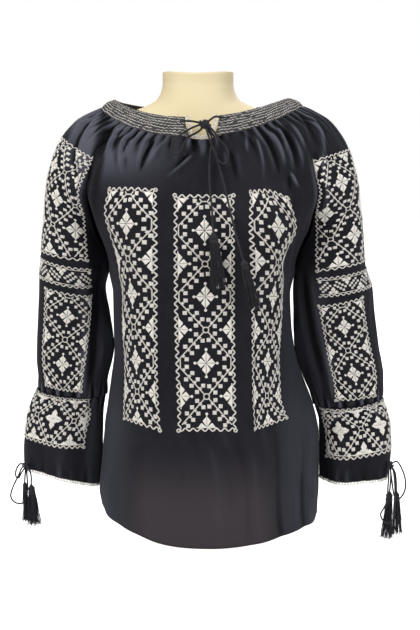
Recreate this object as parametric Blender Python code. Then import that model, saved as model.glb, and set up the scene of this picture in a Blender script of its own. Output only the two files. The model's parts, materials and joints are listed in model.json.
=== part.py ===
"""A black Romanian ie blouse, gathered into a smocked neckband, worn by a limbless dress form.

Frame: +Z is up, -Y is the front, +X is the wearer's left. The origin is the centre of the form's flat foot.
Sizes in the tables are millimetres; meshes are metres.
"""

import math

import bmesh
import bpy
import numpy as np

MM = 0.001
SEAM_GAP = 0.3
CLOTH = 1.4
BAND_CLOTH = 2.4
EDGING = 2.4
TIE = 2.6
CUFF_TIE = 2.2

SEAM_TURN = 45.0
ARMPIT = 393.0
HEM_FRONT, HEM_RIGHT, HEM_LEFT, HEM_BACK = 31.5, 67.0, 51.0, 34.0
GATHERS = 72
SQUARENESS = 2.3
TILT = 4.0  # the wearer's right side of the neckline hangs this much lower
SLIT_HALF_TURN = 8.0
SLIT_DEPTH = 0.035
LEVEL_BELOW, LEVEL_FADE = 230.0, 120.0  # folds low down push straight out, with no lift

BUST_HEIGHT, BUST_APART, BUST_RISE = 452.0, 74.0, 11.0
BUST_WIDE, BUST_TALL = 40.0, 46.0


def monotone(stations, values):
    """A smooth curve through the values that never overshoots them."""
    x, y = np.array(stations, float), np.array(values, float)
    step = np.diff(x)
    slope = np.diff(y) / step
    lean = np.zeros(len(y))
    same = slope[:-1] * slope[1:] > 0
    lean[1:-1][same] = 2 * slope[:-1][same] * slope[1:][same] / (slope[:-1] + slope[1:])[same]
    lean[0], lean[-1] = slope[0], slope[-1]

    def read(at):
        at = np.clip(at, x[0], x[-1])
        i = np.clip(np.searchsorted(x, at, side="right") - 1, 0, len(x) - 2)
        t = (at - x[i]) / step[i]
        rest = 1 - t
        start = (1 + 2 * t) * rest**2 * y[i] + t * rest**2 * step[i] * lean[i]
        end = t**2 * (3 - 2 * t) * y[i + 1] - t**2 * rest * step[i] * lean[i + 1]
        return start + end

    return read


class Sections:
    """A table of sizes. Its first column is the station; the others are read by name at any station."""

    def __init__(self, columns, *rows):
        rows = sorted(rows)
        stations = [row[0] for row in rows]
        self.columns = {
            name: monotone(stations, [row[i] for row in rows])
            for i, name in enumerate(columns.split())
            if i
        }

    def __call__(self, name, at):
        return self.columns[name](at)


# The yoke as one ring round the shoulders, from the neckband's lower edge (0) to the armpits (1).
YOKE = Sections(
    "drop z_front z_side z_back wide front back tilt",
    (0.00, 566, 607, 590, 136, 93, 92, 1.0),
    (0.15, 544, 593, 567, 168, 98, 98, 0.8),
    (0.30, 520, 565, 538, 189, 106, 104, 0.5),
    (0.44, 497, 532, 508, 199, 113, 108, 0.2),
    (0.54, 480, 508, 487, 205, 118, 109, 0.0),
    (0.67, 456, 478, 461, 210, 122, 108, 0.0),
    (0.80, 431, 446, 434, 216, 123, 106, 0.0),
    (1.00, 393, 393, 393, 222, 120, 99, 0.0),
)

# The neckband's upper and lower edges.
BAND = Sections(
    "drop z_front z_side z_back wide front back tilt",
    (0.0, 590, 618, 612, 117, 84, 81, 0.8),
    (0.5, 578, 615, 602, 127, 89, 87, 0.9),
    (1.0, 566, 607, 590, 136, 93, 92, 1.0),
)

# The body, by height: how far its right and left sides, front and back reach.
TRUNK = Sections(
    "height right left front back",
    (608, -118, 118, 92, 90),
    (520, -124, 124, 112, 106),
    (450, -129, 129, 121, 107),
    (393, -129, 127, 119, 99),
    (359, -124, 120, 114, 92),
    (316, -124, 123, 110, 88),
    (285, -124, 128, 108, 90),
    (241, -129, 141, 106, 95),
    (202, -135, 156, 107, 103),
    (165, -140, 165, 110, 109),
    (134, -143.5, 166, 111, 112),
    (105, -147, 166, 112, 114),
    (84, -149, 166, 113, 115),
    (64, -146, 165, 114, 116),
    (20, -143.5, 165, 116, 118),
)

# The sleeves, by height: outer and inner sides, front and back. The last rows are the flounce below the gather.
SLEEVES = {
    -1: Sections(
        "height outer inner front back",
        (608, -136, -118, 62, 62),
        (529, -199, -124, 64, 64),
        (453, -215, -129, 60, 60),
        (393, -222, -129, 55, 55),
        (364, -225, -135, 52, 54),
        (331, -229, -131, 50, 53),
        (285, -233, -130, 48, 50),
        (262, -234, -132, 45, 50),
        (239, -232, -136, 42, 48),
        (200, -229, -141, 38, 46),
    ),
    1: Sections(
        "height outer inner front back",
        (608, 136, 118, 62, 62),
        (529, 199, 124, 64, 64),
        (453, 215, 129, 60, 60),
        (393, 223, 127, 55, 55),
        (364, 233, 125, 54, 55),
        (331, 238, 127, 53, 54),
        (285, 246, 133, 50, 52),
        (262, 251, 138, 47, 50),
        (239, 254, 144, 44, 48),
        (216, 253, 152.5, 41, 46),
        (196, 250, 159, 38, 44),
    ),
}
FLOUNCES = {
    -1: Sections(
        "height outer inner front back",
        (224, -232, -138, 39, 46),
        (208, -241, -141.5, 43, 51),
        (193, -246, -143, 46, 54),
        (170, -250, -144, 49, 59),
        (134, -254, -145.5, 49, 62),
        (105, -253, -148.5, 47, 60),
        (84, -251, -150.5, 44, 57),
    ),
    1: Sections(
        "height outer inner front back",
        (211, 252, 156, 39, 45),
        (193, 260, 161.5, 44, 50),
        (170, 268, 166.5, 48, 54),
        (134, 270, 168.5, 50, 56),
        (104, 267, 169, 47, 54),
        (90, 265, 169.5, 44, 51),
    ),
}
GATHER_HEIGHT = {-1: (213.0, 223.0, 0.0), 1: (198.0, 210.0, 0.0)}  # inner, outer, how far the front lies above
CUFF_HEIGHT = {-1: (85.0, 112.0, 8.0), 1: (93.0, 101.0, 2.0)}

# Deep folds of the yoke: turn and drop where each starts and ends, rise (a trough is negative), half width in degrees.
YOKE_FOLDS = (
    (-72, 0.02, -46, 0.62, -8.0, 5.5),
    (-59, 0.04, -40, 0.55, 4.5, 4.0),
    (-47, 0.03, -37, 0.36, -4.0, 3.0),
    (-34, 0.03, -31, 0.50, 4.0, 3.6),
    (-25, 0.03, -27, 0.44, -4.5, 3.2),
    (-3, 0.16, -18, 0.46, -3.0, 3.0),
    (17, 0.05, 13, 0.36, 2.5, 2.6),
    (27, 0.05, 21, 0.34, 3.0, 2.8),
    (34, 0.03, 27, 0.38, -4.0, 2.8),
    (41, 0.04, 31, 0.52, -4.0, 2.8),
    (53, 0.05, 38, 0.62, -8.0, 5.5),
    (63, 0.03, 46, 0.48, 4.5, 4.0),
    (78, 0.02, 66, 0.45, -3.5, 5.0),
    (98, 0.04, 92, 0.46, 1.5, 6.0),
    (114, 0.03, 119, 0.56, -5.5, 5.0),
    (131, 0.03, 139, 0.60, -6.5, 4.5),
    (148, 0.04, 150, 0.48, 4.0, 4.0),
    (166, 0.04, 164, 0.55, -4.0, 3.6),
    (179, 0.05, 178, 0.40, 3.5, 3.4),
    (194, 0.04, 196, 0.55, -4.5, 3.6),
    (212, 0.04, 210, 0.48, 4.0, 4.0),
    (229, 0.03, 222, 0.60, -6.5, 4.5),
    (246, 0.03, 241, 0.54, -5.0, 5.0),
    (263, 0.04, 267, 0.44, 1.5, 6.0),
)

# Long folds of the body: turn, height at the top and at the bottom, rise at the hem, half width in degrees.
TRUNK_FOLDS = (
    (-84, 380, 20, -4.0, 10),
    (-58, 300, 20, 3.5, 12),
    (-32, 250, 20, -2.0, 12),
    (6, 220, 20, 1.8, 14),
    (38, 260, 20, -2.5, 12),
    (62, 330, 20, 4.0, 12),
    (86, 380, 20, -4.5, 10),
    (112, 340, 20, 5.0, 11),
    (138, 420, 20, -5.0, 11),
    (163, 380, 20, 4.5, 11),
    (186, 400, 20, -4.5, 11),
    (210, 370, 20, 5.0, 11),
    (234, 400, 20, -5.0, 11),
    (254, 330, 20, 4.0, 10),
)

# Folds of each sleeve: turn round the arm (0 inside, 90 front), height and turn at the other end, rise, half width.
SLEEVE_FOLDS = (
    (38, 420, 52, 250, -5.0, 17),
    (70, 300, 64, 200, 3.5, 16),
    (338, 430, 318, 240, -5.5, 18),
    (20, 330, 8, 215, 4.0, 18),
    (205, 330, 214, 215, -3.0, 20),
    (262, 440, 250, 230, -4.5, 20),
    (292, 330, 286, 200, 4.0, 18),
)


# The dress form, from the neck down: heights of each ring at its front, sides and back, then its reaches.
FORM_COLUMNS = 24
FORM_RINGS = (
    (650, 655, 655, -6, 47.5, 40, 50),
    (638, 641, 642, -6, 47.5, 43, 52),
    (624, 631, 634, -6, 49, 49, 55),
    (608, 619, 624, -6, 55, 57, 60),
    (596, 611, 616, -5, 68, 63, 65),
    (584, 604, 610, -4, 88, 69, 70),
    (570, 595, 601, -2, 118, 75, 78),
    (548, 585, 586, 0, 149, 82, 86),
    (518, 558, 558, 0, 165, 90, 94),
    (485, 515, 515, 0, 160, 98, 97),
    (450, 464, 464, 0, 136, 103, 95),
    (410, 410, 410, 0, 117, 103, 88),
    (360, 360, 360, 0, 108, 98, 79),
    (310, 310, 310, 0, 104, 93, 75),
    (250, 250, 250, 0, 112, 90, 80),
    (190, 190, 190, 0, 124, 92, 90),
    (130, 130, 130, 0, 130, 92, 96),
    (80, 80, 80, 0, 126, 84, 92),
    (40, 40, 40, 0, 108, 56, 86),
    (10, 10, 10, 0, 85, 34, 82),
    (0, 0, 0, 0, 79, 30, 79),
)

EDGING_CLEAR = EDGING / 2 + SEAM_GAP
HEAD_LENGTH = 11.0
HEAD_PROFILE = ((0.35, 0.0), (0.8, 0.12), (0.95, 0.35), (0.7, 0.6), (1.0, 0.8), (1.0, 1.0))  # radius, depth

# Knots: centre and size.
KNOTS = {
    "neck_knot": ((4, -107, 579), (11, 9, 14)),
    "right_sleeve_knot": ((-246.2, -34.7, 119), (11, 9, 9)),
    "left_sleeve_knot": ((260.5, -37.1, 121), (10, 9, 10)),
}
# Tassels: top, end, head radius, end radius.
TASSELS = {
    "neck_tassel_right": ((14, -131, 446), (21, -132, 376), 5.5, 12.0),
    "neck_tassel_left": ((51, -135, 413), (66, -133, 352), 5.0, 9.5),
    "right_sleeve_tassel_back": ((-247, -42, 97), (-246, -42, 39), 3.4, 6.0),
    "right_sleeve_tassel_front": ((-235, -57, 98), (-231, -60, 41), 5.0, 12.0),
    "left_sleeve_tassel_back": ((268, -47, 85), (272, -46, 23), 4.2, 8.5),
    "left_sleeve_tassel_front": ((257, -54, 87), (254, -57, 20), 5.0, 10.0),
}
# Ties: diameter, the pieces that they run from and to, and the places that they pass.
CORDS = {
    "neck_tie_right": (TIE, "neck_knot", None, ((-12, -103, 583), (-21, -94.5, 584), (-27, -87.5, 584))),
    "neck_tie_left": (TIE, "neck_knot", None, ((15, -104, 588), (22, -94, 589), (27, -86.5, 589))),
    "neck_loop_right": (
        TIE,
        "neck_knot",
        "neck_knot",
        ((-6, -112, 577), (-19, -111, 571), (-30, -108, 563), (-37, -106, 553), (-34, -105, 544))
        + ((-26, -105, 546), (-22, -105, 557), (-16, -105, 564), (-5, -105, 570)),
    ),
    "neck_loop_left": (
        TIE,
        "neck_knot",
        "neck_knot",
        ((13, -112, 572), (21, -111, 561), (29, -109, 552), (33, -109, 541), (27, -110, 531))
        + ((19, -113.5, 537), (13, -114.5, 551), (8, -115, 565)),
    ),
    "neck_end_right": (
        TIE,
        "neck_knot",
        "neck_tassel_right",
        ((9, -108.5, 570), (12.3, -109.5, 562), (11.3, -109.5, 552), (9.5, -110, 531), (9.5, -117, 505), (12, -125, 480)),
    ),
    "neck_end_left": (
        TIE,
        "neck_knot",
        "neck_tassel_left",
        ((10, -104.5, 572), (15.5, -106, 563), (16, -106.5, 550), (19.5, -109, 533), (25.7, -115, 512), (31, -123, 490), (36, -130, 468))
        + ((43, -134, 440),),
    ),
    "right_sleeve_small_loop": (
        CUFF_TIE,
        "right_sleeve_knot",
        "right_sleeve_knot",
        ((-253, -40, 123), (-258, -42, 116), (-259, -43, 107), (-255, -44, 104), (-251, -43, 111)),
    ),
    "right_sleeve_big_loop": (
        CUFF_TIE,
        "right_sleeve_knot",
        "right_sleeve_knot",
        ((-253, -32, 114), (-258, -31, 103), (-266, -30, 87), (-270, -30, 73), (-265, -30, 64))
        + ((-256, -30, 62), (-249, -30, 67), (-246, -30, 85), (-246, -31.5, 106)),
    ),
    "right_sleeve_end_back": (
        CUFF_TIE,
        "right_sleeve_knot",
        "right_sleeve_tassel_back",
        ((-247, -37, 110), (-247, -40, 104)),
    ),
    "right_sleeve_end_front": (
        CUFF_TIE,
        "right_sleeve_knot",
        "right_sleeve_tassel_front",
        ((-240, -43, 115), (-236, -51, 109)),
    ),
    "left_sleeve_outer_loop": (
        CUFF_TIE,
        "left_sleeve_knot",
        "left_sleeve_knot",
        ((269, -39, 126), (276, -40, 116), (281, -40, 102), (282, -40, 90), (279, -40, 79))
        + ((272, -39, 71), (267, -37, 77), (264, -36, 95), (262, -35, 109)),
    ),
    "left_sleeve_inner_loop": (
        CUFF_TIE,
        "left_sleeve_knot",
        "left_sleeve_knot",
        ((257, -45, 117), (255, -54, 106), (253, -61, 93), (252, -66, 80), (247, -67, 69))
        + ((243, -67, 60), (247, -68, 51), (255, -70, 49), (261, -70, 60), (263, -62, 88), (263, -50, 112)),
    ),
    "left_sleeve_end_back": (
        CUFF_TIE,
        "left_sleeve_knot",
        "left_sleeve_tassel_back",
        ((266, -42, 112), (267.5, -45.5, 100)),
    ),
    "left_sleeve_end_front": (
        CUFF_TIE,
        "left_sleeve_knot",
        "left_sleeve_tassel_front",
        ((260, -44, 111), (258.5, -51, 99)),
    ),
}


def hill(x):
    """A smooth bump, 1 at 0 and 0 beyond 1."""
    return np.where(np.abs(x) < 1, np.cos(np.clip(x, -1, 1) * math.pi / 2) ** 2, 0.0)


def ease(x):
    x = np.clip(x, 0, 1)
    return x * x * (3 - 2 * x)


def rounded(turn):
    """Across and forward shares of a squarish oval at a turn in degrees: 0 is the front, 90 the left side."""
    a = np.radians(turn)
    power = 2 / SQUARENESS
    return np.sign(np.sin(a)) * np.abs(np.sin(a)) ** power, np.sign(np.cos(a)) * np.abs(np.cos(a)) ** power


def ring(table, turn, drop):
    """Points of a yoke or neckband ring."""
    across, forward = rounded(turn)
    reach = np.where(forward > 0, -table("front", drop), -table("back", drop))
    ends = np.where(forward > 0, table("z_front", drop), table("z_back", drop))
    sides = table("z_side", drop)
    z = sides + (ends - sides) * np.cos(np.radians(turn)) ** 2
    z = z + TILT * np.sin(2 * np.radians(turn)) * (forward > 0) * table("tilt", drop)
    return np.stack([table("wide", drop) * across, reach * forward, z], -1)


def trunk_ring(turn, height):
    across, forward = rounded(turn)
    x = np.where(across > 0, TRUNK("left", height), -TRUNK("right", height)) * across
    y = np.where(forward > 0, -TRUNK("front", height), -TRUNK("back", height)) * forward
    return np.stack([x, y, height + 0 * x], -1)


def arm_ring(table, side, turn, height):
    """Points round an arm: turn 0 is its inner side, 90 its front, 180 its outer side."""
    trunk_side = TRUNK("left" if side > 0 else "right", height)
    inner = np.where(height >= ARMPIT, trunk_side, table("inner", height))
    outer = table("outer", height)
    a = np.radians(turn)
    x = (inner + outer) / 2 + (inner - outer) / 2 * np.cos(a)
    y = np.where(np.sin(a) > 0, -table("front", height), -table("back", height)) * np.sin(a)
    return np.stack([x, y, height + 0 * x], -1)


def bust(points):
    """How far the bust lifts the cloth at these points."""
    x, y, z = points[..., 0], points[..., 1], points[..., 2]
    away = (np.abs(x) - BUST_APART) / BUST_WIDE
    up = (z - BUST_HEIGHT) / np.where(z > BUST_HEIGHT, BUST_TALL, 1.5 * BUST_TALL)
    return BUST_RISE * np.exp(-(away**2) - up**2) * (y < -20)


def pull(drop):
    """How far the single yoke ring has parted into a body and two arms."""
    return ease((drop - 0.5) / 0.5)[..., None]


def along_plane(heights, turn):
    """Height of a slanting edge round an arm, from its inner to its outer side."""
    inner, outer, lift = heights
    a = np.radians(turn)
    return inner + (outer - inner) * (1 - np.cos(a)) / 2 + lift * np.maximum(np.sin(a), 0) ** 2


def body_base(turn, v):
    """The body before its folds: v runs 0 to 1 from the neckband to the armpits, and to 2 at the hem."""
    folded = (np.asarray(turn) + 180) % 360 - 180
    is_front = np.abs(folded) < 90 + 1e-6
    drop = np.clip(v, 0, 1)
    share = np.where(is_front, folded, folded - np.sign(folded) * 180) / SEAM_TURN
    wide_turn = np.where(is_front, share * 90, np.sign(folded) * 180 + share * 90)
    hem_end = np.where(is_front, HEM_FRONT, HEM_BACK)
    hem_side = np.where(folded < 0, HEM_RIGHT, HEM_LEFT)
    hem = hem_side + (hem_end - hem_side) * np.cos(np.radians(wide_turn)) ** 2
    height = np.where(v > 1, ARMPIT + (hem - ARMPIT) * (v - 1), YOKE("z_side", drop))
    whole = ring(YOKE, folded, drop)
    parted = trunk_ring(wide_turn, height)
    mix = pull(drop)
    points = whole * (1 - mix) + parted * mix
    points[..., 2] = np.where(v > 1, height, whole[..., 2])
    points[..., 1] -= bust(points)
    return points


def sleeve_base(side, u, v):
    """A sleeve before its folds: u runs 0 to 1 from the front seam round the outside to the back seam."""
    drop = np.clip(v, 0, 1)
    turn = side * (SEAM_TURN + (180 - 2 * SEAM_TURN) * u)
    gather = along_plane(GATHER_HEIGHT[side], 360 * u)
    height = np.where(v > 1, ARMPIT + (gather - ARMPIT) * (v - 1), YOKE("z_side", drop))
    whole = ring(YOKE, turn, drop)
    parted = arm_ring(SLEEVES[side], side, 360 * u, height)
    mix = pull(drop)
    points = whole * (1 - mix) + parted * mix
    points[..., 2] = np.where(v > 1, height, whole[..., 2])
    points[..., 1] -= bust(points)
    return points


def flounce_base(side, u, v):
    turn = 360 * u
    top, bottom = along_plane(GATHER_HEIGHT[side], turn), along_plane(CUFF_HEIGHT[side], turn)
    height = top + (bottom - top) * v
    return arm_ring(FLOUNCES[side], side, turn, height)


def band_base(turn, v):
    return ring(BAND, turn, v)


def turn_from(turn, middle):
    return (turn - middle + 180) % 360 - 180


def yoke_folds(turn, drop):
    """Fine gathers under the neckband, and the deep folds that they run into."""
    fine = 1.6 * np.cos(np.radians(turn) * GATHERS) * ease(1 - drop / 0.2)
    uneven = 1.0 + 0.35 * np.sin(np.radians(turn) * 11 + 1.3)
    rise = fine * uneven
    for start, top, end, bottom, height, width in YOKE_FOLDS:
        share = (drop - top) / (bottom - top)
        middle = start + (end - start) * np.clip(share, 0, 1)
        window = ease(share / 0.25) * ease((1 - share) / 0.6)
        rise = rise + height * hill(turn_from(turn, middle) / width) * window
    return rise


def trunk_folds(turn, height):
    rise = 0 * turn
    for middle, top, bottom, size, width in TRUNK_FOLDS:
        rise = rise + size * hill(turn_from(turn, middle) / width) * ease((top - height) / (top - bottom))
    return rise


def arm_folds(turn, height):
    rise = 0 * turn
    for start, top, end, bottom, size, width in SLEEVE_FOLDS:
        share = (top - height) / (top - bottom)
        middle = start + (end - start) * np.clip(share, 0, 1)
        window = ease(share / 0.35) * ease((1.15 - share) / 0.4)
        rise = rise + size * hill(turn_from(turn, middle) / width) * window
    return rise


def front(u, v):
    turn = -SEAM_TURN + 2 * SEAM_TURN * u
    slit = SLIT_DEPTH * hill(turn / (1.6 * SLIT_HALF_TURN))
    drop = np.where(v < 1, slit + (1 - slit) * v, v)
    points = body_base(turn, drop)
    wide = turn / SEAM_TURN * 90
    rise = yoke_folds(turn, drop) * (drop < 1) + trunk_folds(wide, points[..., 2]) * (drop > 0.6)
    return points, rise


def back(u, v):
    turn = 180 - SEAM_TURN + 2 * SEAM_TURN * u
    points = body_base(turn, v)
    wide = 180 + (turn - 180) / SEAM_TURN * 90
    rise = yoke_folds(turn, v) * (v < 1) + trunk_folds(wide, points[..., 2]) * (v > 0.6)
    return points, rise


def sleeve(side):
    def surface(u, v):
        points = sleeve_base(side, u, v)
        turn = side * (SEAM_TURN + (180 - 2 * SEAM_TURN) * u)
        rise = yoke_folds(turn, np.clip(v, 0, 1)) + arm_folds(360 * u, points[..., 2]) * ease((v - 0.6) / 0.3)
        gather = 1.5 * np.cos(np.radians(360 * u) * 20) * ease((v - 1.86) / 0.14)
        return points, rise + gather

    return surface


def flounce(side):
    def surface(u, v):
        points = flounce_base(side, u, v)
        turn = np.radians(360 * u)
        top = 1.6 * np.cos(turn * 20) * ease(1 - v / 0.25)
        hem = 0.6 * np.cos(turn * 20 + 1) * ease((v - 0.72) / 0.28)
        drape = 2.2 * np.cos(turn * 5 + side) * ease(v / 0.4)
        return points, top + hem + drape

    return surface


def neckband(u, v):
    turn = SLIT_HALF_TURN + (360 - 2 * SLIT_HALF_TURN) * u
    return band_base(turn, v), 0 * u


def smocked(u, v):
    points, _ = neckband(u, v)
    turn = SLIT_HALF_TURN + (360 - 2 * SLIT_HALF_TURN) * u
    return points, 0.55 + 0.55 * np.cos(np.radians(turn) * GATHERS)


def sampled(surface, side, u, v):
    """Outer points of a cloth surface and the directions out of it, both in millimetres."""
    step = 1e-3
    points, rise = surface(u, v)
    across = surface(u + step, v)[0] - surface(u - step, v)[0]
    down = surface(u, v + step)[0] - surface(u, v - step)[0]
    out = side * np.cross(down, across)
    out /= np.linalg.norm(out, axis=-1, keepdims=True)
    out[..., 2] *= ease((points[..., 2] - LEVEL_BELOW) / LEVEL_FADE)
    out /= np.linalg.norm(out, axis=-1, keepdims=True)
    return points + out * (rise - SEAM_GAP / 2)[..., None], out


def zip_rows(bm, a, b):
    """Faces between two rows of points that may differ in number."""
    i = j = 0
    while i < len(a) - 1 or j < len(b) - 1:
        next_a, next_b = (i + 1) / (len(a) - 1), (j + 1) / (len(b) - 1)
        if abs(next_a - next_b) < 1e-9:
            bm.faces.new((a[i], a[i + 1], b[j + 1], b[j]))
            i, j = i + 1, j + 1
        elif next_a < next_b:
            bm.faces.new((a[i], a[i + 1], b[j]))
            i += 1
        else:
            bm.faces.new((a[i], b[j + 1], b[j]))
            j += 1


def row_points(surface, side, v, columns, closed):
    """Points of one row, drawn in from both edges by half a seam gap."""
    probe = surface(np.linspace(0, 1, 60), np.full(60, v))[0]
    length = np.linalg.norm(np.diff(probe, axis=0), axis=1).sum()
    trim = 0 if closed else SEAM_GAP / 2 / length
    u = np.linspace(trim, 1 - trim, columns + 1)
    if closed:
        u = u[:-1]
    return sampled(surface, side, u, np.full(len(u), v))


def make_mesh(name, bm, material):
    bmesh.ops.recalc_face_normals(bm, faces=bm.faces)
    mesh = bpy.data.meshes.new(name)
    bm.to_mesh(mesh)
    bm.free()
    mesh.shade_smooth()
    mesh.set_sharp_from_angle(angle=math.radians(50))
    mesh.materials.append(material)
    obj = bpy.data.objects.new(name, mesh)
    bpy.context.scene.collection.objects.link(obj)
    return obj


def cloth_wall(name, surface, rows, material, thickness=CLOTH, side=1, closed=False, inside=None):
    """A closed wall of cloth under a surface. rows are (v, columns); inside gives (surface, rows) of a plainer back."""
    bm = bmesh.new()
    skins = []
    for layer, (skin, skin_rows) in enumerate(((surface, rows), inside or (surface, rows))):
        made = []
        for v, columns in skin_rows:
            points, out = row_points(skin, side, v, columns, closed)
            points = points - out * thickness * layer
            verts = [bm.verts.new(p * MM) for p in points]
            made.append(verts + verts[:1] if closed else verts)
        for a, b in zip(made, made[1:]):
            zip_rows(bm, a, b)
        skins.append(made)
    outer, inner = skins
    zip_rows(bm, outer[0], inner[0])
    zip_rows(bm, outer[-1], inner[-1])
    if not closed:
        for end in (0, -1):
            zip_rows(bm, [row[end] for row in outer], [row[end] for row in inner])
    return make_mesh(name, bm, material)


def dress_form(name, finish):
    """The dress form: rings down a table, closed by a flat neck and a flat foot."""
    bm = bmesh.new()
    turn = np.linspace(0, 360, FORM_COLUMNS, endpoint=False)
    across, forward = rounded(turn)
    rows = []
    for z_front, z_side, z_back, middle, wide, front_reach, back_reach in FORM_RINGS:
        reach = np.where(forward > 0, -front_reach, -back_reach)
        ends = np.where(forward > 0, z_front, z_back)
        z = z_side + (ends - z_side) * np.cos(np.radians(turn)) ** 2
        points = np.stack([middle + wide * across, reach * forward, z], -1)
        rows.append([bm.verts.new(p * MM) for p in points])
    for a, b in zip(rows, rows[1:]):
        zip_rows(bm, a + a[:1], b + b[:1])
    bm.faces.new(rows[0])
    bm.faces.new(rows[-1])
    return make_mesh(name, bm, finish)


def even(path, spacing):
    """The same path at even steps of about this length."""
    run = np.append(0, np.cumsum(np.linalg.norm(np.diff(path, axis=0), axis=1)))
    at = np.linspace(0, run[-1], max(3, round(run[-1] / spacing) + 1))
    return np.stack([np.interp(at, run, path[:, i]) for i in range(3)], -1)


def smooth_path(points, spacing):
    """Evenly spaced points on a curve through hand-placed ones."""
    p = np.array(points, float)
    p = np.vstack([2 * p[0] - p[1], p, 2 * p[-1] - p[-2]])
    t = np.linspace(0, 1, 16, endpoint=False)[:, None]
    pieces = []
    for a, b, c, d in zip(p, p[1:], p[2:], p[3:]):
        pieces.append(
            b + t * (c - a) / 2 + t**2 * (2 * a - 5 * b + 4 * c - d) / 2 + t**3 * (3 * b - a - 3 * c + d) / 2
        )
    return even(np.vstack(pieces + [p[-2:-1]]), spacing)


def tube(name, points, diameter, finish, sides=2, closed=False):
    """A round tube along points in millimetres."""
    curve = bpy.data.curves.new(name, "CURVE")
    curve.dimensions = "3D"
    curve.bevel_depth = diameter / 2 * MM
    curve.bevel_resolution = sides
    curve.use_fill_caps = True
    spline = curve.splines.new("POLY")
    spline.points.add(len(points) - 1)
    for spot, point in zip(spline.points, points):
        spot.co = (*(point * MM), 1)
    spline.use_cyclic_u = closed
    curve.materials.append(finish)
    obj = bpy.data.objects.new(name, curve)
    bpy.context.scene.collection.objects.link(obj)
    return obj


def end_of(piece):
    """Where a tie meets a piece: the middle of a knot, or the top of a tassel."""
    if piece is None:
        return []
    return [(KNOTS.get(piece) or TASSELS[piece])[0]]


def clear_of(piece, path):
    """Which points of a path lie just outside a piece."""
    if piece in KNOTS:
        centre, size = KNOTS[piece]
        reach = np.array(size) / 2 + 1.5 * SEAM_GAP
        return np.linalg.norm((path - centre) / reach, axis=1) > 1
    if piece in TASSELS:
        top, end = np.array(TASSELS[piece][:2], float)
        down = (end - top) / np.linalg.norm(end - top)
        return (path - top) @ down < -1.5 * SEAM_GAP
    return np.full(len(path), True)


def cord(name, diameter, start, end, route):
    path = smooth_path([*end_of(start), *route, *end_of(end)], 0.2)
    path = path[clear_of(start, path) & clear_of(end, path)]
    return tube(name, even(path, 3 * diameter), diameter, CORD)


def knot(name, centre, size):
    bm = bmesh.new()
    bmesh.ops.create_uvsphere(bm, u_segments=10, v_segments=7, radius=0.5)
    bmesh.ops.scale(bm, vec=np.array(size) * MM, verts=bm.verts)
    bmesh.ops.translate(bm, vec=np.array(centre) * MM, verts=bm.verts)
    return make_mesh(name, bm, CORD)


def tassel(name, top, end, head_radius, end_radius):
    """A round head whose underside is divided into cells, each drawn out into one strand."""
    top, end = np.array(top, float), np.array(end, float)
    down = (end - top) / np.linalg.norm(end - top)
    right = np.cross(down, [0, 1, 0])
    right /= np.linalg.norm(right)
    ahead = np.cross(right, down)
    bm = bmesh.new()

    def ring_of(radius, depth, count):
        a = np.arange(count) * 2 * math.pi / count
        spots = top + down * depth + radius * (np.cos(a)[:, None] * right + np.sin(a)[:, None] * ahead)
        return [bm.verts.new(p * MM) for p in spots]

    rows = [ring_of(head_radius * width, HEAD_LENGTH * depth, 8) for width, depth in HEAD_PROFILE]
    bm.faces.new(rows[0])
    for a, b in zip(rows, rows[1:]):
        zip_rows(bm, a + a[:1], b + b[:1])
    middle = ring_of(head_radius * 0.5, HEAD_LENGTH, 4)
    rim = rows[-1]
    cells = []
    for i in range(4):
        j = (i + 1) % 4
        cells.append(bm.faces.new((rim[2 * i], rim[2 * i + 1], middle[i])))
        cells.append(bm.faces.new((rim[2 * i + 1], rim[(2 * i + 2) % 8], middle[j], middle[i])))
    cells.append(bm.faces.new(middle))
    bmesh.ops.recalc_face_normals(bm, faces=bm.faces)
    bmesh.ops.inset_individual(bm, faces=cells, thickness=head_radius * 0.07 * MM)
    length = np.linalg.norm(end - top) - HEAD_LENGTH
    start = top + down * HEAD_LENGTH
    for cell in cells:
        offset = np.array(cell.calc_center_median()) / MM - start
        spread = offset * (end_radius / head_radius - 1)
        ragged = 1 - 0.06 * (1 + math.sin(offset[0] * 5 + offset[1] * 3))
        for share in (0.45, 1.0):
            made = bmesh.ops.extrude_discrete_faces(bm, faces=[cell])["faces"][0]
            step = share if share < 1 else 0.55
            shift = (down * length * ragged + spread) * step
            bmesh.ops.translate(bm, vec=shift * MM, verts=made.verts)
            cell = made
    return make_mesh(name, bm, CORD)


def slit_edge_path():
    """Down one end of the neckband, along the front panel's slit and up the other end."""
    inset = np.degrees(EDGING_CLEAR / YOKE("wide", 0))
    clear = SLIT_HALF_TURN - 1.35 * inset
    down = np.linspace(0.03, 0.9, 5)
    right_end = band_base(np.full(5, -clear), down)
    left_end = band_base(np.full(5, clear), down[::-1])
    u = 0.5 + np.linspace(-0.88, 0.88, 9) * clear / 2 / SEAM_TURN
    along, out = sampled(front, 1, u, np.full(9, 0.0016))
    under = along - out * CLOTH / 2 + [0, 0, 1.15 * EDGING_CLEAR]
    return np.vstack([right_end, under, left_end])


def flounce_edge_path(side):
    points, out = row_points(flounce(side), side, 1.0, FLOUNCE_ROWS[-1][1], True)
    return points - out * CLOTH / 2 - [0, 0, EDGING_CLEAR]


def material(name, colour, roughness):
    made = bpy.data.materials.new(name)
    made.use_nodes = True
    shader = made.node_tree.nodes["Principled BSDF"]
    shader.inputs["Base Color"].default_value = (*colour, 1)
    shader.inputs["Roughness"].default_value = roughness
    shader.inputs["Metallic"].default_value = 0
    return made


for old in list(bpy.data.objects):
    bpy.data.objects.remove(old)

BLACK = material("black_cotton", (0.03, 0.032, 0.042), 0.85)
SMOCKING = material("grey_smocking", (0.24, 0.23, 0.22), 0.8)
CREAM = material("cream_thread", (0.78, 0.74, 0.66), 0.7)
CORD = material("black_cord", (0.012, 0.012, 0.015), 0.7)
FORM = material("ivory_form", (0.82, 0.72, 0.5), 0.35)

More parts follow.
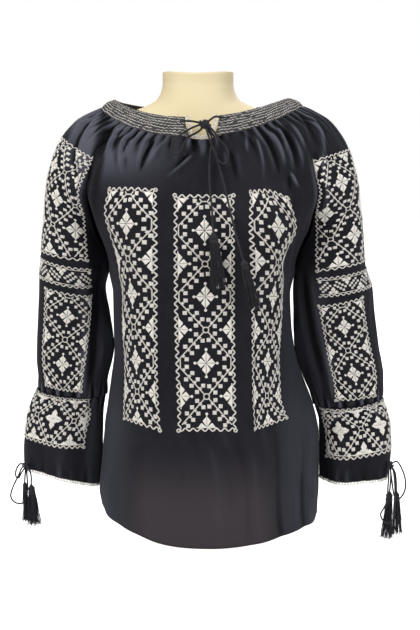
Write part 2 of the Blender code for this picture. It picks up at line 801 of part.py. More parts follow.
# Rows of each piece as (v, columns): many columns where it is gathered, fewer where it hangs.
YOKE_ROWS = [(0.0016, 36), (0.07, 36), (0.15, 36), (0.25, 36)]
YOKE_ROWS += [(v, 20) for v in (0.37, 0.48, 0.59, 0.70, 0.80, 0.90)]
BODY_ROWS = YOKE_ROWS + [(v, 20) for v in (1.0, 1.1, 1.2, 1.3, 1.42, 1.55, 1.7, 1.85, 2.0)]
SLEEVE_ROWS = YOKE_ROWS + [(v, 20) for v in (1.0, 1.12, 1.25, 1.4, 1.55, 1.7)]
SLEEVE_ROWS += [(1.85, 40), (1.9992, 40)]
FLOUNCE_ROWS = [(0.0012, 40), (0.12, 40), (0.26, 20), (0.5, 20), (0.74, 20), (0.88, 40), (1.0, 40)]

cloth_wall("front_panel", front, BODY_ROWS, BLACK)
cloth_wall("back_panel", back, BODY_ROWS, BLACK)
for side, name in ((-1, "right"), (1, "left")):
    cloth_wall(f"{name}_sleeve", sleeve(side), SLEEVE_ROWS, BLACK, side=side)
    cloth_wall(f"{name}_flounce", flounce(side), FLOUNCE_ROWS, BLACK, side=side, closed=True)
cloth_wall(
    "neckband",
    smocked,
    [(v, 2 * GATHERS) for v in (0.0, 0.33, 0.66, 0.98)],
    SMOCKING,
    thickness=BAND_CLOTH,
    inside=(neckband, [(v, 36) for v in (0.0, 0.5, 0.98)]),
)
dress_form("dress_form", FORM)
tube("slit_edging", slit_edge_path(), EDGING, CREAM, sides=1)
for side, name in ((-1, "right"), (1, "left")):
    tube(f"{name}_flounce_edging", flounce_edge_path(side), EDGING, CREAM, sides=0, closed=True)
for name, (centre, size) in KNOTS.items():
    knot(name, centre, size)
for name, (top, end, head_radius, end_radius) in TASSELS.items():
    tassel(name, top, end, head_radius, end_radius)
for name, (diameter, start, end, route) in CORDS.items():
    cord(name, diameter, start, end, route)
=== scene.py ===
import math
import bmesh
import bpy
import numpy as np
from mathutils import Matrix
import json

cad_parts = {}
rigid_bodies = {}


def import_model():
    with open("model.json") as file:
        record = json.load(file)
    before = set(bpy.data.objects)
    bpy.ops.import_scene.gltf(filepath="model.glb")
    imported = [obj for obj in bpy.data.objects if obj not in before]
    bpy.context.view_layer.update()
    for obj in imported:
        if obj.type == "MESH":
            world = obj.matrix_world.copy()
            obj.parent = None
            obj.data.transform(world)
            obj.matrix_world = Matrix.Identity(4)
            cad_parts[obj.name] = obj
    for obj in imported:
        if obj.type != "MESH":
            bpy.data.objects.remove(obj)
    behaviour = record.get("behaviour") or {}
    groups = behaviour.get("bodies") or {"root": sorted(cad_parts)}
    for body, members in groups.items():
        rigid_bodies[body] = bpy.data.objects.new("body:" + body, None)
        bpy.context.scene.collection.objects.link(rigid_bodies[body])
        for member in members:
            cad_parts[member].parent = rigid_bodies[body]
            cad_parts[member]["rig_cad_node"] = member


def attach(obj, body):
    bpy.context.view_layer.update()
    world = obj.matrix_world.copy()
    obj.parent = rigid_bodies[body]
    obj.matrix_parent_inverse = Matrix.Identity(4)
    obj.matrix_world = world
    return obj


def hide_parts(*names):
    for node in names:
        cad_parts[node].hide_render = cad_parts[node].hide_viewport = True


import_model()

scene = bpy.context.scene
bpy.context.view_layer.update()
mm = 0.001


def linked(name, data):
    obj = bpy.data.objects.new(name, data)
    scene.collection.objects.link(obj)
    return obj


def plainMesh(name, points, edges=(), faces=()):
    mesh = bpy.data.meshes.new(name)
    mesh.from_pydata([tuple(p) for p in points], edges, faces)
    return mesh


def feed(tree, socket, value):
    # an input takes another node's output, a colour or a plain value
    if isinstance(value, bpy.types.NodeSocket):
        tree.links.new(value, socket)
    elif socket.type == "RGBA":
        socket.default_value = (*value, 1)
    else:
        socket.default_value = value


def newNode(tree, kind, inputs=None, **settings):
    node = tree.nodes.new(kind)
    for name, value in settings.items():
        setattr(node, name, value)
    for name, value in (inputs or {}).items():
        feed(tree, node.inputs[name], value)
    return node


def newMaterial(name, inputs):
    material = bpy.data.materials.new(name)
    material.use_nodes = True
    shader = material.node_tree.nodes["Principled BSDF"]
    for label, value in inputs.items():
        feed(material.node_tree, shader.inputs[label], value)
    return material, material.node_tree, shader


# the camera, the lights and the floor
studio = {
    "camera": (0.010, -1.210, 0.502),
    "lookDown": 8.3,
    "lens": 50.0,
    "backdrop": (1.0, 1.0, 1.0),
    "floor": (0.93, 0.93, 0.925),
    "floorCorners": ((-9, -6, 0), (9, -6, 0), (9, 12, 0), (-9, 12, 0)),
    "fill": 0.34,  # how strongly the pale room lights the cloth
    # name: place, aim, width, height, power, colour
    "lights": {
        "softboxLeft": ((-1.5, -1.4, 2.0), (0.0, 0.0, 0.40), 1.0, 1.0, 34, (1.0, 0.985, 0.96)),
        "softboxRight": ((1.7, -1.2, 1.3), (0.0, 0.0, 0.35), 1.2, 1.6, 16, (0.96, 0.98, 1.0)),
        "overhead": ((0.0, -0.15, 2.3), (0.0, 0.0, 0.3), 1.8, 1.8, 20, (1.0, 1.0, 1.0)),
        "backRight": ((0.9, 1.7, 1.5), (0.0, 0.0, 0.35), 1.2, 1.2, 8, (1.0, 1.0, 1.0)),
    },
}


def aimed(obj, place, target):
    across, along, up = np.array(place) - np.array(target)
    obj.location = place
    obj.rotation_euler = (math.atan2(math.hypot(across, along), up), 0, math.atan2(across, -along))


def setUpStudio(s):
    lens = bpy.data.cameras.new("viewCamera")
    lens.lens, lens.sensor_width = s["lens"], 36
    lens.clip_start, lens.clip_end = 0.05, 60
    scene.camera = linked("viewCamera", lens)
    scene.camera.location = s["camera"]
    scene.camera.rotation_euler = (math.radians(90 - s["lookDown"]), 0, 0)
    for name, (place, target, width, height, power, colour) in s["lights"].items():
        lamp = bpy.data.lights.new(name, "AREA")
        lamp.shape, lamp.size, lamp.size_y = "RECTANGLE", width, height
        lamp.energy, lamp.color = power, colour
        aimed(linked(name, lamp), place, target)
    world = bpy.data.worlds.new("paleRoom")
    world.use_nodes = True
    tree = world.node_tree
    tree.nodes.clear()
    # the camera sees the backdrop at full strength, and the cloth is lit by a weaker one
    rays = newNode(tree, "ShaderNodeLightPath")
    felt = newNode(tree, "ShaderNodeBackground", {"Color": s["backdrop"], "Strength": s["fill"]})
    seen = newNode(tree, "ShaderNodeBackground", {"Color": s["backdrop"]})
    shades = {0: rays.outputs["Is Camera Ray"], 1: felt.outputs[0], 2: seen.outputs[0]}
    mix = newNode(tree, "ShaderNodeMixShader", shades)
    newNode(tree, "ShaderNodeOutputWorld", {"Surface": mix.outputs[0]})
    scene.world = world
    matt = {"Base Color": s["floor"], "Roughness": 0.9, "Specular IOR Level": 0.1}
    finish, tree, shader = newMaterial("paleFloor", {**matt, "Emission Color": s["backdrop"]})
    rays = newNode(tree, "ShaderNodeLightPath")
    feed(tree, shader.inputs["Emission Strength"], rays.outputs["Is Camera Ray"])
    floor = linked("floor", plainMesh("floor", s["floorCorners"], faces=[(0, 1, 2, 3)]))
    floor.data.materials.append(finish)
    scene.view_settings.view_transform = "Standard"
    scene.view_settings.look = "None"


setUpStudio(studio)
print("studio ready")


# the blouse's shape, in millimetres and degrees
seamGap = 0.3
seamTurn = 45.0
armpit = 393.0
hemFront, hemRight, hemLeft, hemBack = 31.5, 67.0, 51.0, 34.0
gathers = 72
squareness = 2.3
tilt = 4.0  # the wearer's right side of the neckline hangs this much lower
slitHalfTurn = 8.0
slitDepth = 0.035
deepestFold = -8.5
levelBelow, levelFade = 230.0, 120.0  # folds low down push straight out, with no lift

bustHeight, bustApart, bustRise = 452.0, 74.0, 11.0
bustWide, bustTall = 40.0, 46.0


def monotone(stations, values):
    x, y = np.array(stations, float), np.array(values, float)
    step = np.diff(x)
    slope = np.diff(y) / step
    lean = np.zeros(len(y))
    same = slope[:-1] * slope[1:] > 0
    lean[1:-1][same] = 2 * slope[:-1][same] * slope[1:][same] / (slope[:-1] + slope[1:])[same]
    lean[0], lean[-1] = slope[0], slope[-1]

    def read(at):
        at = np.clip(at, x[0], x[-1])
        i = np.clip(np.searchsorted(x, at, side="right") - 1, 0, len(x) - 2)
        t = (at - x[i]) / step[i]
        rest = 1 - t
        start = (1 + 2 * t) * rest**2 * y[i] + t * rest**2 * step[i] * lean[i]
        end = t**2 * (3 - 2 * t) * y[i + 1] - t**2 * rest * step[i] * lean[i + 1]
        return start + end

    return read


def sections(columns, *rows):
    # reads one of the named columns, smoothly, at any place in the first one
    stations, *values = zip(*sorted(rows))
    tables = {name: monotone(stations, column) for name, column in zip(columns.split()[1:], values)}
    return lambda name, at: tables[name](at)


# The yoke as one ring round the shoulders, from the neckband's lower edge (0) to the armpits (1).
yokeSizes = sections(
    "drop zFront zSide zBack wide front back tilt",
    (0.00, 566, 607, 590, 136, 93, 92, 1.0),
    (0.15, 544, 593, 567, 168, 98, 98, 0.8),
    (0.30, 520, 565, 538, 189, 106, 104, 0.5),
    (0.44, 497, 532, 508, 199, 113, 108, 0.2),
    (0.54, 480, 508, 487, 205, 118, 109, 0.0),
    (0.67, 456, 478, 461, 210, 122, 108, 0.0),
    (0.80, 431, 446, 434, 216, 123, 106, 0.0),
    (1.00, 393, 393, 393, 222, 120, 99, 0.0),
)

# The neckband's upper and lower edges.
bandSizes = sections(
    "drop zFront zSide zBack wide front back tilt",
    (0.0, 590, 618, 612, 117, 84, 81, 0.8),
    (0.5, 578, 615, 602, 127, 89, 87, 0.9),
    (1.0, 566, 607, 590, 136, 93, 92, 1.0),
)

# The body, by height: how far its right and left sides, front and back reach.
trunkSizes = sections(
    "height right left front back",
    (608, -118, 118, 92, 90),
    (520, -124, 124, 112, 106),
    (450, -129, 129, 121, 107),
    (393, -129, 127, 119, 99),
    (359, -124, 120, 114, 92),
    (316, -124, 123, 110, 88),
    (285, -124, 128, 108, 90),
    (241, -129, 141, 106, 95),
    (202, -135, 156, 107, 103),
    (165, -140, 165, 110, 109),
    (134, -143.5, 166, 111, 112),
    (105, -147, 166, 112, 114),
    (84, -149, 166, 113, 115),
    (64, -146, 165, 114, 116),
    (20, -143.5, 165, 116, 118),
)

# The sleeves and the flounces below their gather, by height: outer and inner sides, front and back.
sleeveSizes = {
    -1: sections(
        "height outer inner front back",
        (608, -136, -118, 62, 62),
        (529, -199, -124, 64, 64),
        (453, -215, -129, 60, 60),
        (393, -222, -129, 55, 55),
        (364, -225, -135, 52, 54),
        (331, -229, -131, 50, 53),
        (285, -233, -130, 48, 50),
        (262, -234, -132, 45, 50),
        (239, -232, -136, 42, 48),
        (200, -229, -141, 38, 46),
    ),
    1: sections(
        "height outer inner front back",
        (608, 136, 118, 62, 62),
        (529, 199, 124, 64, 64),
        (453, 215, 129, 60, 60),
        (393, 223, 127, 55, 55),
        (364, 233, 125, 54, 55),
        (331, 238, 127, 53, 54),
        (285, 246, 133, 50, 52),
        (262, 251, 138, 47, 50),
        (239, 254, 144, 44, 48),
        (216, 253, 152.5, 41, 46),
        (196, 250, 159, 38, 44),
    ),
}
flounceSizes = {
    -1: sections(
        "height outer inner front back",
        (224, -232, -138, 39, 46),
        (208, -241, -141.5, 43, 51),
        (193, -246, -143, 46, 54),
        (170, -250, -144, 49, 59),
        (134, -254, -145.5, 49, 62),
        (105, -253, -148.5, 47, 60),
        (84, -251, -150.5, 44, 57),
    ),
    1: sections(
        "height outer inner front back",
        (211, 252, 156, 39, 45),
        (193, 260, 161.5, 44, 50),
        (170, 268, 166.5, 48, 54),
        (134, 270, 168.5, 50, 56),
        (104, 267, 169, 47, 54),
        (90, 265, 169.5, 44, 51),
    ),
}
# Heights of the inner and outer sides, and how far the front lies above.
gatherHeight = {-1: (213.0, 223.0, 0.0), 1: (198.0, 210.0, 0.0)}
cuffHeight = {-1: (85.0, 112.0, 8.0), 1: (93.0, 101.0, 2.0)}

# Deep folds of the yoke: turn and drop where each starts and ends, rise (a trough is negative) and
# half width in degrees.
yokeFolds = (
    (-72, 0.02, -46, 0.62, -8.0, 5.5),
    (63, 0.03, 46, 0.48, 4.5, 4.0),
    (78, 0.02, 66, 0.45, -3.5, 5.0),
    (98, 0.04, 92, 0.46, 1.5, 6.0),
    (114, 0.03, 119, 0.56, -5.5, 5.0),
    (131, 0.03, 139, 0.60, -6.5, 4.5),
    (148, 0.04, 150, 0.48, 4.0, 4.0),
    (166, 0.04, 164, 0.55, -4.0, 3.6),
    (179, 0.05, 178, 0.40, 3.5, 3.4),
    (194, 0.04, 196, 0.55, -4.5, 3.6),
    (212, 0.04, 210, 0.48, 4.0, 4.0),
    (229, 0.03, 222, 0.60, -6.5, 4.5),
    (246, 0.03, 241, 0.54, -5.0, 5.0),
    (263, 0.04, 267, 0.44, 1.5, 6.0),
)

# The sharper folds that run down and inward over the front, from the same measures.
frontFolds = (
    (-43, 0.03, -37, 0.30, 4.0, 2.6),
    (-36.5, 0.04, -26.5, 0.42, 4.5, 2.4),
    (-29.5, 0.02, -28, 0.25, 2.5, 1.8),
    (-24.5, 0.02, -22.5, 0.30, 3.5, 1.6),
    (-15.7, 0.03, -18.3, 0.27, 3.0, 2.0),
    (-2, 0.13, -12, 0.38, 3.0, 2.4),
    (18.8, 0.03, 15.2, 0.22, 2.5, 1.8),
    (23, 0.03, 19.9, 0.42, 3.2, 1.9),
    (31.9, 0.03, 30, 0.37, 4.0, 2.0),
    (37.5, 0.03, 31.6, 0.30, 3.5, 1.8),
    (45, 0.03, 42, 0.30, 4.0, 2.2),
    (31.4, 0.36, 34.5, 0.50, 3.0, 2.0),
    (-50, 0.02, -38.5, 0.34, -8.0, 5.0),
    (-41.5, 0.03, -37.5, 0.18, -4.0, 2.0),
    (-32.8, 0.14, -30, 0.28, -3.5, 1.5),
    (-32.8, 0.02, -31, 0.11, -3.0, 1.5),
    (-20.5, 0.03, -21, 0.36, -5.5, 2.0),
    (-3, 0.13, -11, 0.33, -4.0, 1.4),
    (-3, 0.02, -1, 0.12, -3.0, 2.5),
    (19.6, 0.05, 19.6, 0.20, -2.5, 1.2),
    (27.8, 0.03, 26.7, 0.44, -5.5, 2.0),
    (39.5, 0.05, 34.8, 0.44, -8.0, 3.2),
    (58, 0.03, 48, 0.28, -4.0, 3.0),
    (9.4, 0.12, 10.5, 0.42, -3.0, 1.8),
    (31, 0.38, 30, 0.52, -2.5, 1.2),
    (-45, 0.22, -44, 1.00, -5.5, 4.5),
    (47, 0.22, 45, 1.00, -5.5, 4.5),
)

# Long folds of the body: turn, height at the top and at the bottom, rise at the hem, half width in degrees.
trunkFolds = (
    (-84, 380, 20, -4.0, 10),
    (-58, 300, 20, 3.5, 12),
    (-32, 250, 20, -2.0, 12),
    (6, 220, 20, 1.8, 14),
    (38, 260, 20, -2.5, 12),
    (62, 330, 20, 4.0, 12),
    (86, 380, 20, -4.5, 10),
    (112, 340, 20, 5.0, 11),
    (138, 420, 20, -5.0, 11),
    (163, 380, 20, 4.5, 11),
    (186, 400, 20, -4.5, 11),
    (210, 370, 20, 5.0, 11),
    (234, 400, 20, -5.0, 11),
    (254, 330, 20, 4.0, 10),
)

# Folds of each sleeve: turn round the arm (0 inside, 90 front) and height where each starts and ends,
# rise and half width.
sleeveFolds = (
    (38, 420, 52, 250, -5.0, 17),
    (70, 300, 64, 200, 3.5, 16),
    (338, 430, 318, 240, -5.5, 18),
    (20, 330, 8, 215, 4.0, 18),
    (205, 330, 214, 215, -3.0, 20),
    (262, 440, 250, 230, -4.5, 20),
    (292, 330, 286, 200, 4.0, 18),
)

# Where a sleeve swells towards the body: height and reach of the swelling, and its size.
swellings = {-1: (287, 62, 5.0), 1: (286, 56, 4.0)}

# The dress form, from the neck down: heights of each ring at its front, sides and back, then its middle
# and half width, and its reaches to the front and back.
formRings = (
    (650, 655, 655, -6, 47.5, 40, 50),
    (638, 641, 642, -6, 47.5, 43, 52),
    (624, 631, 634, -6, 49, 49, 55),
    (608, 619, 624, -6, 55, 57, 60),
    (596, 611, 616, -5, 68, 63, 65),
    (584, 604, 610, -4, 88, 69, 70),
    (570, 595, 601, -2, 118, 75, 78),
    (548, 585, 586, 0, 149, 82, 86),
    (518, 558, 558, 0, 165, 90, 94),
    (485, 515, 515, 0, 160, 98, 97),
    (450, 464, 464, 0, 136, 103, 95),
    (410, 410, 410, 0, 117, 103, 88),
    (360, 360, 360, 0, 108, 98, 79),
    (310, 310, 310, 0, 104, 93, 75),
    (250, 250, 250, 0, 112, 90, 80),
    (190, 190, 190, 0, 124, 92, 90),
    (130, 130, 130, 0, 130, 92, 96),
    (80, 80, 80, 0, 126, 84, 92),
    (40, 40, 40, 0, 108, 56, 86),
    (10, 10, 10, 0, 85, 34, 82),
    (0, 0, 0, 0, 79, 30, 79),
)


def hill(x):
    return np.where(np.abs(x) < 1, np.cos(np.clip(x, -1, 1) * math.pi / 2) ** 2, 0.0)


def ease(x):
    x = np.clip(x, 0, 1)
    return x * x * (3 - 2 * x)


def unit(vectors):
    return vectors / np.linalg.norm(vectors, axis=-1, keepdims=True)


def turnFrom(turn, middle):
    return (turn - middle + 180) % 360 - 180


def rounded(turn):
    # a circle drawn out toward its corners
    a, power = np.radians(turn), 2 / squareness
    return tuple(np.sign(f(a)) * np.abs(f(a)) ** power for f in (np.sin, np.cos))


def reaching(way, table, at):
    # how far a ring reaches to the front, toward -y, and to the back
    return np.where(way > 0, -table("front", at), -table("back", at)) * way


def levelRound(turn, sides, ends):
    return sides + (ends - sides) * np.cos(np.radians(turn)) ** 2


def ring(table, turn, drop):
    across, forward = rounded(turn)
    ends = np.where(forward > 0, table("zFront", drop), table("zBack", drop))
    z = levelRound(turn, table("zSide", drop), ends)
    z = z + tilt * np.sin(2 * np.radians(turn)) * (forward > 0) * table("tilt", drop)
    return np.stack([table("wide", drop) * across, reaching(forward, table, drop), z], -1)


def trunkRing(turn, height):
    across, forward = rounded(turn)
    x = np.where(across > 0, trunkSizes("left", height), -trunkSizes("right", height)) * across
    return np.stack([x, reaching(forward, trunkSizes, height), height + 0 * x], -1)


def armRing(table, side, turn, height):
    trunkSide = trunkSizes("left" if side > 0 else "right", height)
    inner = np.where(height >= armpit, trunkSide, table("inner", height))
    outer = table("outer", height)
    a = np.radians(turn)
    x = (inner + outer) / 2 + (inner - outer) / 2 * np.cos(a)
    return np.stack([x, reaching(np.sin(a), table, height), height + 0 * x], -1)


def bustReach(points):
    x, y, z = points[..., 0], points[..., 1], points[..., 2]
    away = (np.abs(x) - bustApart) / bustWide
    up = (z - bustHeight) / np.where(z > bustHeight, bustTall, 1.5 * bustTall)
    return bustRise * np.exp(-(away**2) - up**2) * (y < -20)


def alongPlane(heights, turn):
    inner, outer, lift = heights
    a = np.radians(turn)
    return inner + (outer - inner) * (1 - np.cos(a)) / 2 + lift * np.maximum(np.sin(a), 0) ** 2


def clothBase(turn, v, end, parted):
    # the yoke's ring, which parts into the trunk or a sleeve and runs on below the armpits to its end
    drop = np.clip(v, 0, 1)
    height = np.where(v > 1, armpit + (end - armpit) * (v - 1), yokeSizes("zSide", drop))
    whole = ring(yokeSizes, turn, drop)
    mix = ease((drop - 0.5) / 0.5)[..., None]
    points = whole * (1 - mix) + parted(height) * mix
    points[..., 2] = np.where(v > 1, height, whole[..., 2])
    points[..., 1] -= bustReach(points)
    return points


def bodyBase(turn, v):
    turn = turnFrom(turn, 0)
    isFront = np.abs(turn) < 90 + 1e-6
    share = np.where(isFront, turn, turn - np.sign(turn) * 180) / seamTurn
    wideTurn = np.where(isFront, share * 90, np.sign(turn) * 180 + share * 90)
    hemEnd = np.where(isFront, hemFront, hemBack)
    hemSide = np.where(turn < 0, hemRight, hemLeft)
    hem = levelRound(wideTurn, hemSide, hemEnd)
    return clothBase(turn, v, hem, lambda height: trunkRing(wideTurn, height))


def sleeveTurn(side, u):
    return side * (seamTurn + (180 - 2 * seamTurn) * u)


def sleeveBase(side, u, v):
    gather = alongPlane(gatherHeight[side], 360 * u)
    return clothBase(
        sleeveTurn(side, u), v, gather, lambda height: armRing(sleeveSizes[side], side, 360 * u, height)
    )


def flounceBase(side, u, v):
    top, bottom = (alongPlane(heights[side], 360 * u) for heights in (gatherHeight, cuffHeight))
    return armRing(flounceSizes[side], side, 360 * u, top + (bottom - top) * v)


def withFolds(rise, turn, at, folds, grow, stop, fade, power=1.0):
    # adds folds that run from one turn and depth to another, each growing in and fading out
    for start, top, end, bottom, height, width in folds:
        share = (at - top) / (bottom - top)
        middle = start + (end - start) * np.clip(share, 0, 1)
        window = ease(share / grow) * ease((stop - share) / fade)
        rise = rise + height * hill(turnFrom(turn, middle) / width) ** power * window
    return rise


def yokeRise(turn, drop):
    fine = 1.6 * np.cos(np.radians(turn) * gathers) * ease(1 - drop / 0.2)
    uneven = 1.0 + 0.35 * np.sin(np.radians(turn) * 11 + 1.3)
    rise = withFolds(fine * uneven, turn, drop, yokeFolds, 0.25, 1, 0.6)
    return np.maximum(withFolds(rise, turn, drop, frontFolds, 0.25, 1, 0.6, 1.5), deepestFold)


def trunkRise(turn, height):
    rise = 0 * turn
    for middle, top, bottom, size, width in trunkFolds:
        rise = rise + size * hill(turnFrom(turn, middle) / width) * ease((top - height) / (top - bottom))
    return rise


def swelling(side, turn, height):
    middle, reach, size = swellings[side]
    return size * hill((height - middle) / reach) * hill(turnFrom(turn, 0) / 75)


def sampled(surface, side, u, v):
    # points of a surface with its rise, and the way out at each
    step = 1e-3
    points, rise = surface(u, v)
    across = surface(u + step, v)[0] - surface(u - step, v)[0]
    down = surface(u, v + step)[0] - surface(u, v - step)[0]
    out = unit(side * np.cross(down, across))
    out[..., 2] *= ease((points[..., 2] - levelBelow) / levelFade)
    out = unit(out)
    return points + out * (rise - seamGap / 2)[..., None], out


# shader groups and the finishes made with them
def makeTree(kind, name, inputs, outputs):
    # a node tree with its sockets, each input as its label, kind and value
    tree = bpy.data.node_groups.new(name, kind)
    keys = {}
    for label, sort, value in inputs:
        socket = tree.interface.new_socket(name=label, in_out="INPUT", socket_type="NodeSocket" + sort)
        if value is not None:
            socket.default_value = value
        keys[label] = socket.identifier
    for label, sort in outputs:
        tree.interface.new_socket(name=label, in_out="OUTPUT", socket_type="NodeSocket" + sort)
    return tree, newNode(tree, "NodeGroupInput").outputs, keys


def maths(tree, operation, *values, clamp=False):
    inputs = dict(enumerate(values))
    return newNode(tree, "ShaderNodeMath", inputs, operation=operation, use_clamp=clamp).outputs[0]


def mixColour(tree, share, a, b):
    return newNode(tree, "ShaderNodeMix", {0: share, 6: a, 7: b}, data_type="RGBA").outputs[2]


def makeWeave():
    # threads over and under each other, as a height from 0 to 1
    inputs = (("Vector", "Vector", None), ("Threads", "Float", 1600.0), ("Slub", "Float", 0.3))
    group, given, keys = makeTree("ShaderNodeTree", "plainWeave", inputs, (("Height", "Float"),))
    place = {0: given["Vector"], "Scale": given["Threads"]}
    scaled = newNode(group, "ShaderNodeVectorMath", place, operation="SCALE").outputs[0]
    warpAndWeft = newNode(group, "ShaderNodeSeparateXYZ", {0: scaled}).outputs[:2]
    warp, weft = (maths(group, "ABSOLUTE", maths(group, "SINE", way)) for way in warpAndWeft)
    over = (maths(group, "SINE", maths(group, "MULTIPLY", way, 0.5)) for way in warpAndWeft)
    onTop = maths(group, "GREATER_THAN", maths(group, "MULTIPLY", *over), 0.0)
    under = maths(group, "SUBTRACT", 1.0, onTop)
    woven = maths(group, "ADD", maths(group, "MULTIPLY", warp, onTop), maths(group, "MULTIPLY", weft, under))
    slub = newNode(group, "ShaderNodeTexNoise", {"Vector": scaled, "Scale": 0.13, "Detail": 2.0})
    uneven = maths(group, "MULTIPLY", slub.outputs[0], given["Slub"])
    newNode(group, "NodeGroupOutput", {"Height": maths(group, "ADD", woven, uneven)})
    return group


def makeUneven():
    # slow patches of lighter, worn or dusty cloth, and fine lint on top
    inputs = (("Vector", "Vector", None), ("Patches", "Float", 9.0), ("Lint", "Float", 0.4))
    outputs = (("Patch", "Float"), ("Fleck", "Float"))
    group, given, keys = makeTree("ShaderNodeTree", "unevenTone", inputs, outputs)
    kinds = (
        ({"Scale": given["Patches"], "Detail": 4.0, "Roughness": 0.6}, 0.32, 0.68),
        ({"Scale": 900.0, "Detail": 1.0}, 0.66, 0.74),
    )
    spread = []
    for settings, low, high in kinds:
        noise = newNode(group, "ShaderNodeTexNoise", {"Vector": given["Vector"], **settings}).outputs[0]
        limits = {"Value": noise, "From Min": low, "From Max": high}
        spread.append(newNode(group, "ShaderNodeMapRange", limits).outputs[0])
    fleck = maths(group, "MULTIPLY", spread[1], given["Lint"])
    newNode(group, "NodeGroupOutput", {"Patch": spread[0], "Fleck": fleck})
    return group


def makeStrands():
    # fine parallel threads across one direction of a UV map
    inputs = (("Vector", "Vector", None), ("Threads", "Float", 40.0), ("Lean", "Float", 0.0))
    group, given, keys = makeTree("ShaderNodeTree", "layThreads", inputs, (("Height", "Float"),))
    parts = newNode(group, "ShaderNodeSeparateXYZ", {0: given["Vector"]}).outputs
    along = maths(group, "ADD", parts[0], maths(group, "MULTIPLY", parts[1], given["Lean"]))
    wave = maths(group, "SINE", maths(group, "MULTIPLY", along, given["Threads"]))
    newNode(group, "NodeGroupOutput", {"Height": maths(group, "ABSOLUTE", wave)})
    return group


groups = {"weave": makeWeave(), "tone": makeUneven(), "threads": makeStrands()}

finishes = {
    "blackCotton": {
        "colour": (0.0075, 0.0077, 0.0105),
        "worn": (0.013, 0.0132, 0.018),
        "fleck": (0.08, 0.078, 0.082),
        # painted highlight where the light falls on the shoulder and the sides
        "faded": (0.077, 0.080, 0.102),
        # painted light showing through the thin cloth near the hem
        "hem": (0.044, 0.037, 0.042),
        # painted highlight on fold crests, and painted shade in fold valleys
        "crest": (0.075, 0.078, 0.1),
        "paintedValleyShade": (0.0025, 0.0025, 0.004),
        "specular": 0.10,
        "roughness": 0.82,
        "sheen": 0.06,
        "sheenTint": (0.62, 0.64, 0.74),
        "threads": 5200.0,
        "depth": 0.00012,
    },
    "greySmocking": {
        "colour": (0.045, 0.043, 0.046), "worn": (0.10, 0.096, 0.098),
        "roughness": 0.9, "depth": 0.0002,
    },
    "smockingThread": {
        "colour": (0.40, 0.375, 0.345), "worn": (0.62, 0.59, 0.55),
        "roughness": 0.62, "sheen": 0.1,
    },
    "creamThread": {
        "colour": (0.80, 0.765, 0.70), "worn": (0.95, 0.915, 0.86),
        "roughness": 0.5, "sheen": 0.12, "threads": 26.0,
    },
    "mutedThread": {
        "colour": (0.62, 0.585, 0.545), "worn": (0.84, 0.80, 0.75),
        "roughness": 0.55, "sheen": 0.1, "threads": 26.0,
    },
    "blackCord": {
        "colour": (0.027, 0.026, 0.031), "worn": (0.046, 0.044, 0.052),
        "roughness": 0.7, "sheen": 0.03, "specular": 0.08, "threads": 1500.0, "lean": 2.0, "depth": 0.0003,
    },
    "ivoryForm": {
        "colour": (0.69, 0.575, 0.345), "worn": (0.73, 0.635, 0.42), "fleck": (0.45, 0.36, 0.22),
        "roughness": 0.42, "depth": 0.0003,
    },
}


def shaded(name, f, patches, lint):
    # a plain shader, and the slow patches and the lint that its colours are mixed by
    material, tree, shader = newMaterial(name, {
        "Roughness": f["roughness"],
        "Specular IOR Level": f.get("specular", 0.16),
        "Sheen Weight": f.get("sheen", 0.0),
        "Sheen Roughness": 0.55,
        "Sheen Tint": f.get("sheenTint", (1, 1, 1)),
    })
    place = newNode(tree, "ShaderNodeTexCoord").outputs
    inputs = {"Vector": place["Object"], "Patches": patches, "Lint": lint}
    tone = newNode(tree, "ShaderNodeGroup", inputs, node_tree=groups["tone"]).outputs
    return material, tree, shader, place, tone


def bumped(tree, shader, height, strength, depth):
    bump = newNode(tree, "ShaderNodeBump", {"Height": height, "Strength": strength, "Distance": depth})
    feed(tree, shader.inputs["Normal"], bump.outputs[0])


def clothFinish(name, f):
    material, tree, shader, place, tone = shaded(name, f, 14.0, 0.35)
    # painted light and shade: a highlight on the shoulder and sides, light showing through the thin hem,
    # then highlights on crests and shade in valleys, each from the cloth's own measures
    marks = (
        ("fade", "faded", 0.0, 1.0),
        ("thin", "hem", 0.0, 1.0),
        ("relief", "crest", 0.06, 1.0),
        ("relief", "paintedValleyShade", -0.04, -0.65),
    )
    cloth = mixColour(tree, tone["Patch"], f["colour"], f["worn"])
    for measure, colour, start, full in marks:
        read = newNode(tree, "ShaderNodeAttribute", attribute_name=measure).outputs["Fac"]
        limits = {"Value": read, "From Min": start, "From Max": full}
        reach = newNode(tree, "ShaderNodeMapRange", limits, interpolation_type="SMOOTHSTEP")
        cloth = mixColour(tree, reach.outputs[0], cloth, f[colour])
    inputs = {"Vector": place["UV"], "Threads": f["threads"]}
    weave = newNode(tree, "ShaderNodeGroup", inputs, node_tree=groups["weave"]).outputs["Height"]
    lit = maths(tree, "MULTIPLY", maths(tree, "SUBTRACT", weave, 0.55), 0.35)
    shade = newNode(tree, "ShaderNodeHueSaturation", {"Color": cloth, "Value": maths(tree, "ADD", 1.0, lit)})
    feed(tree, shader.inputs["Base Color"], mixColour(tree, tone["Fleck"], shade.outputs[0], f["fleck"]))
    bumped(tree, shader, weave, 0.5, f["depth"])
    return material


def threadFinish(name, f):
    material, tree, shader, place, tone = shaded(name, f, 160.0, 0.0)
    inputs = {"Vector": place["UV"], "Threads": f.get("threads", 30.0), "Lean": f.get("lean", 0.0)}
    threads = newNode(tree, "ShaderNodeGroup", inputs, node_tree=groups["threads"]).outputs[0]
    share = maths(tree, "MULTIPLY", tone["Patch"], maths(tree, "ADD", threads, 0.25), clamp=True)
    feed(tree, shader.inputs["Base Color"], mixColour(tree, share, f["colour"], f["worn"]))
    bumped(tree, shader, threads, 0.7, f.get("depth", 0.00025))
    return material


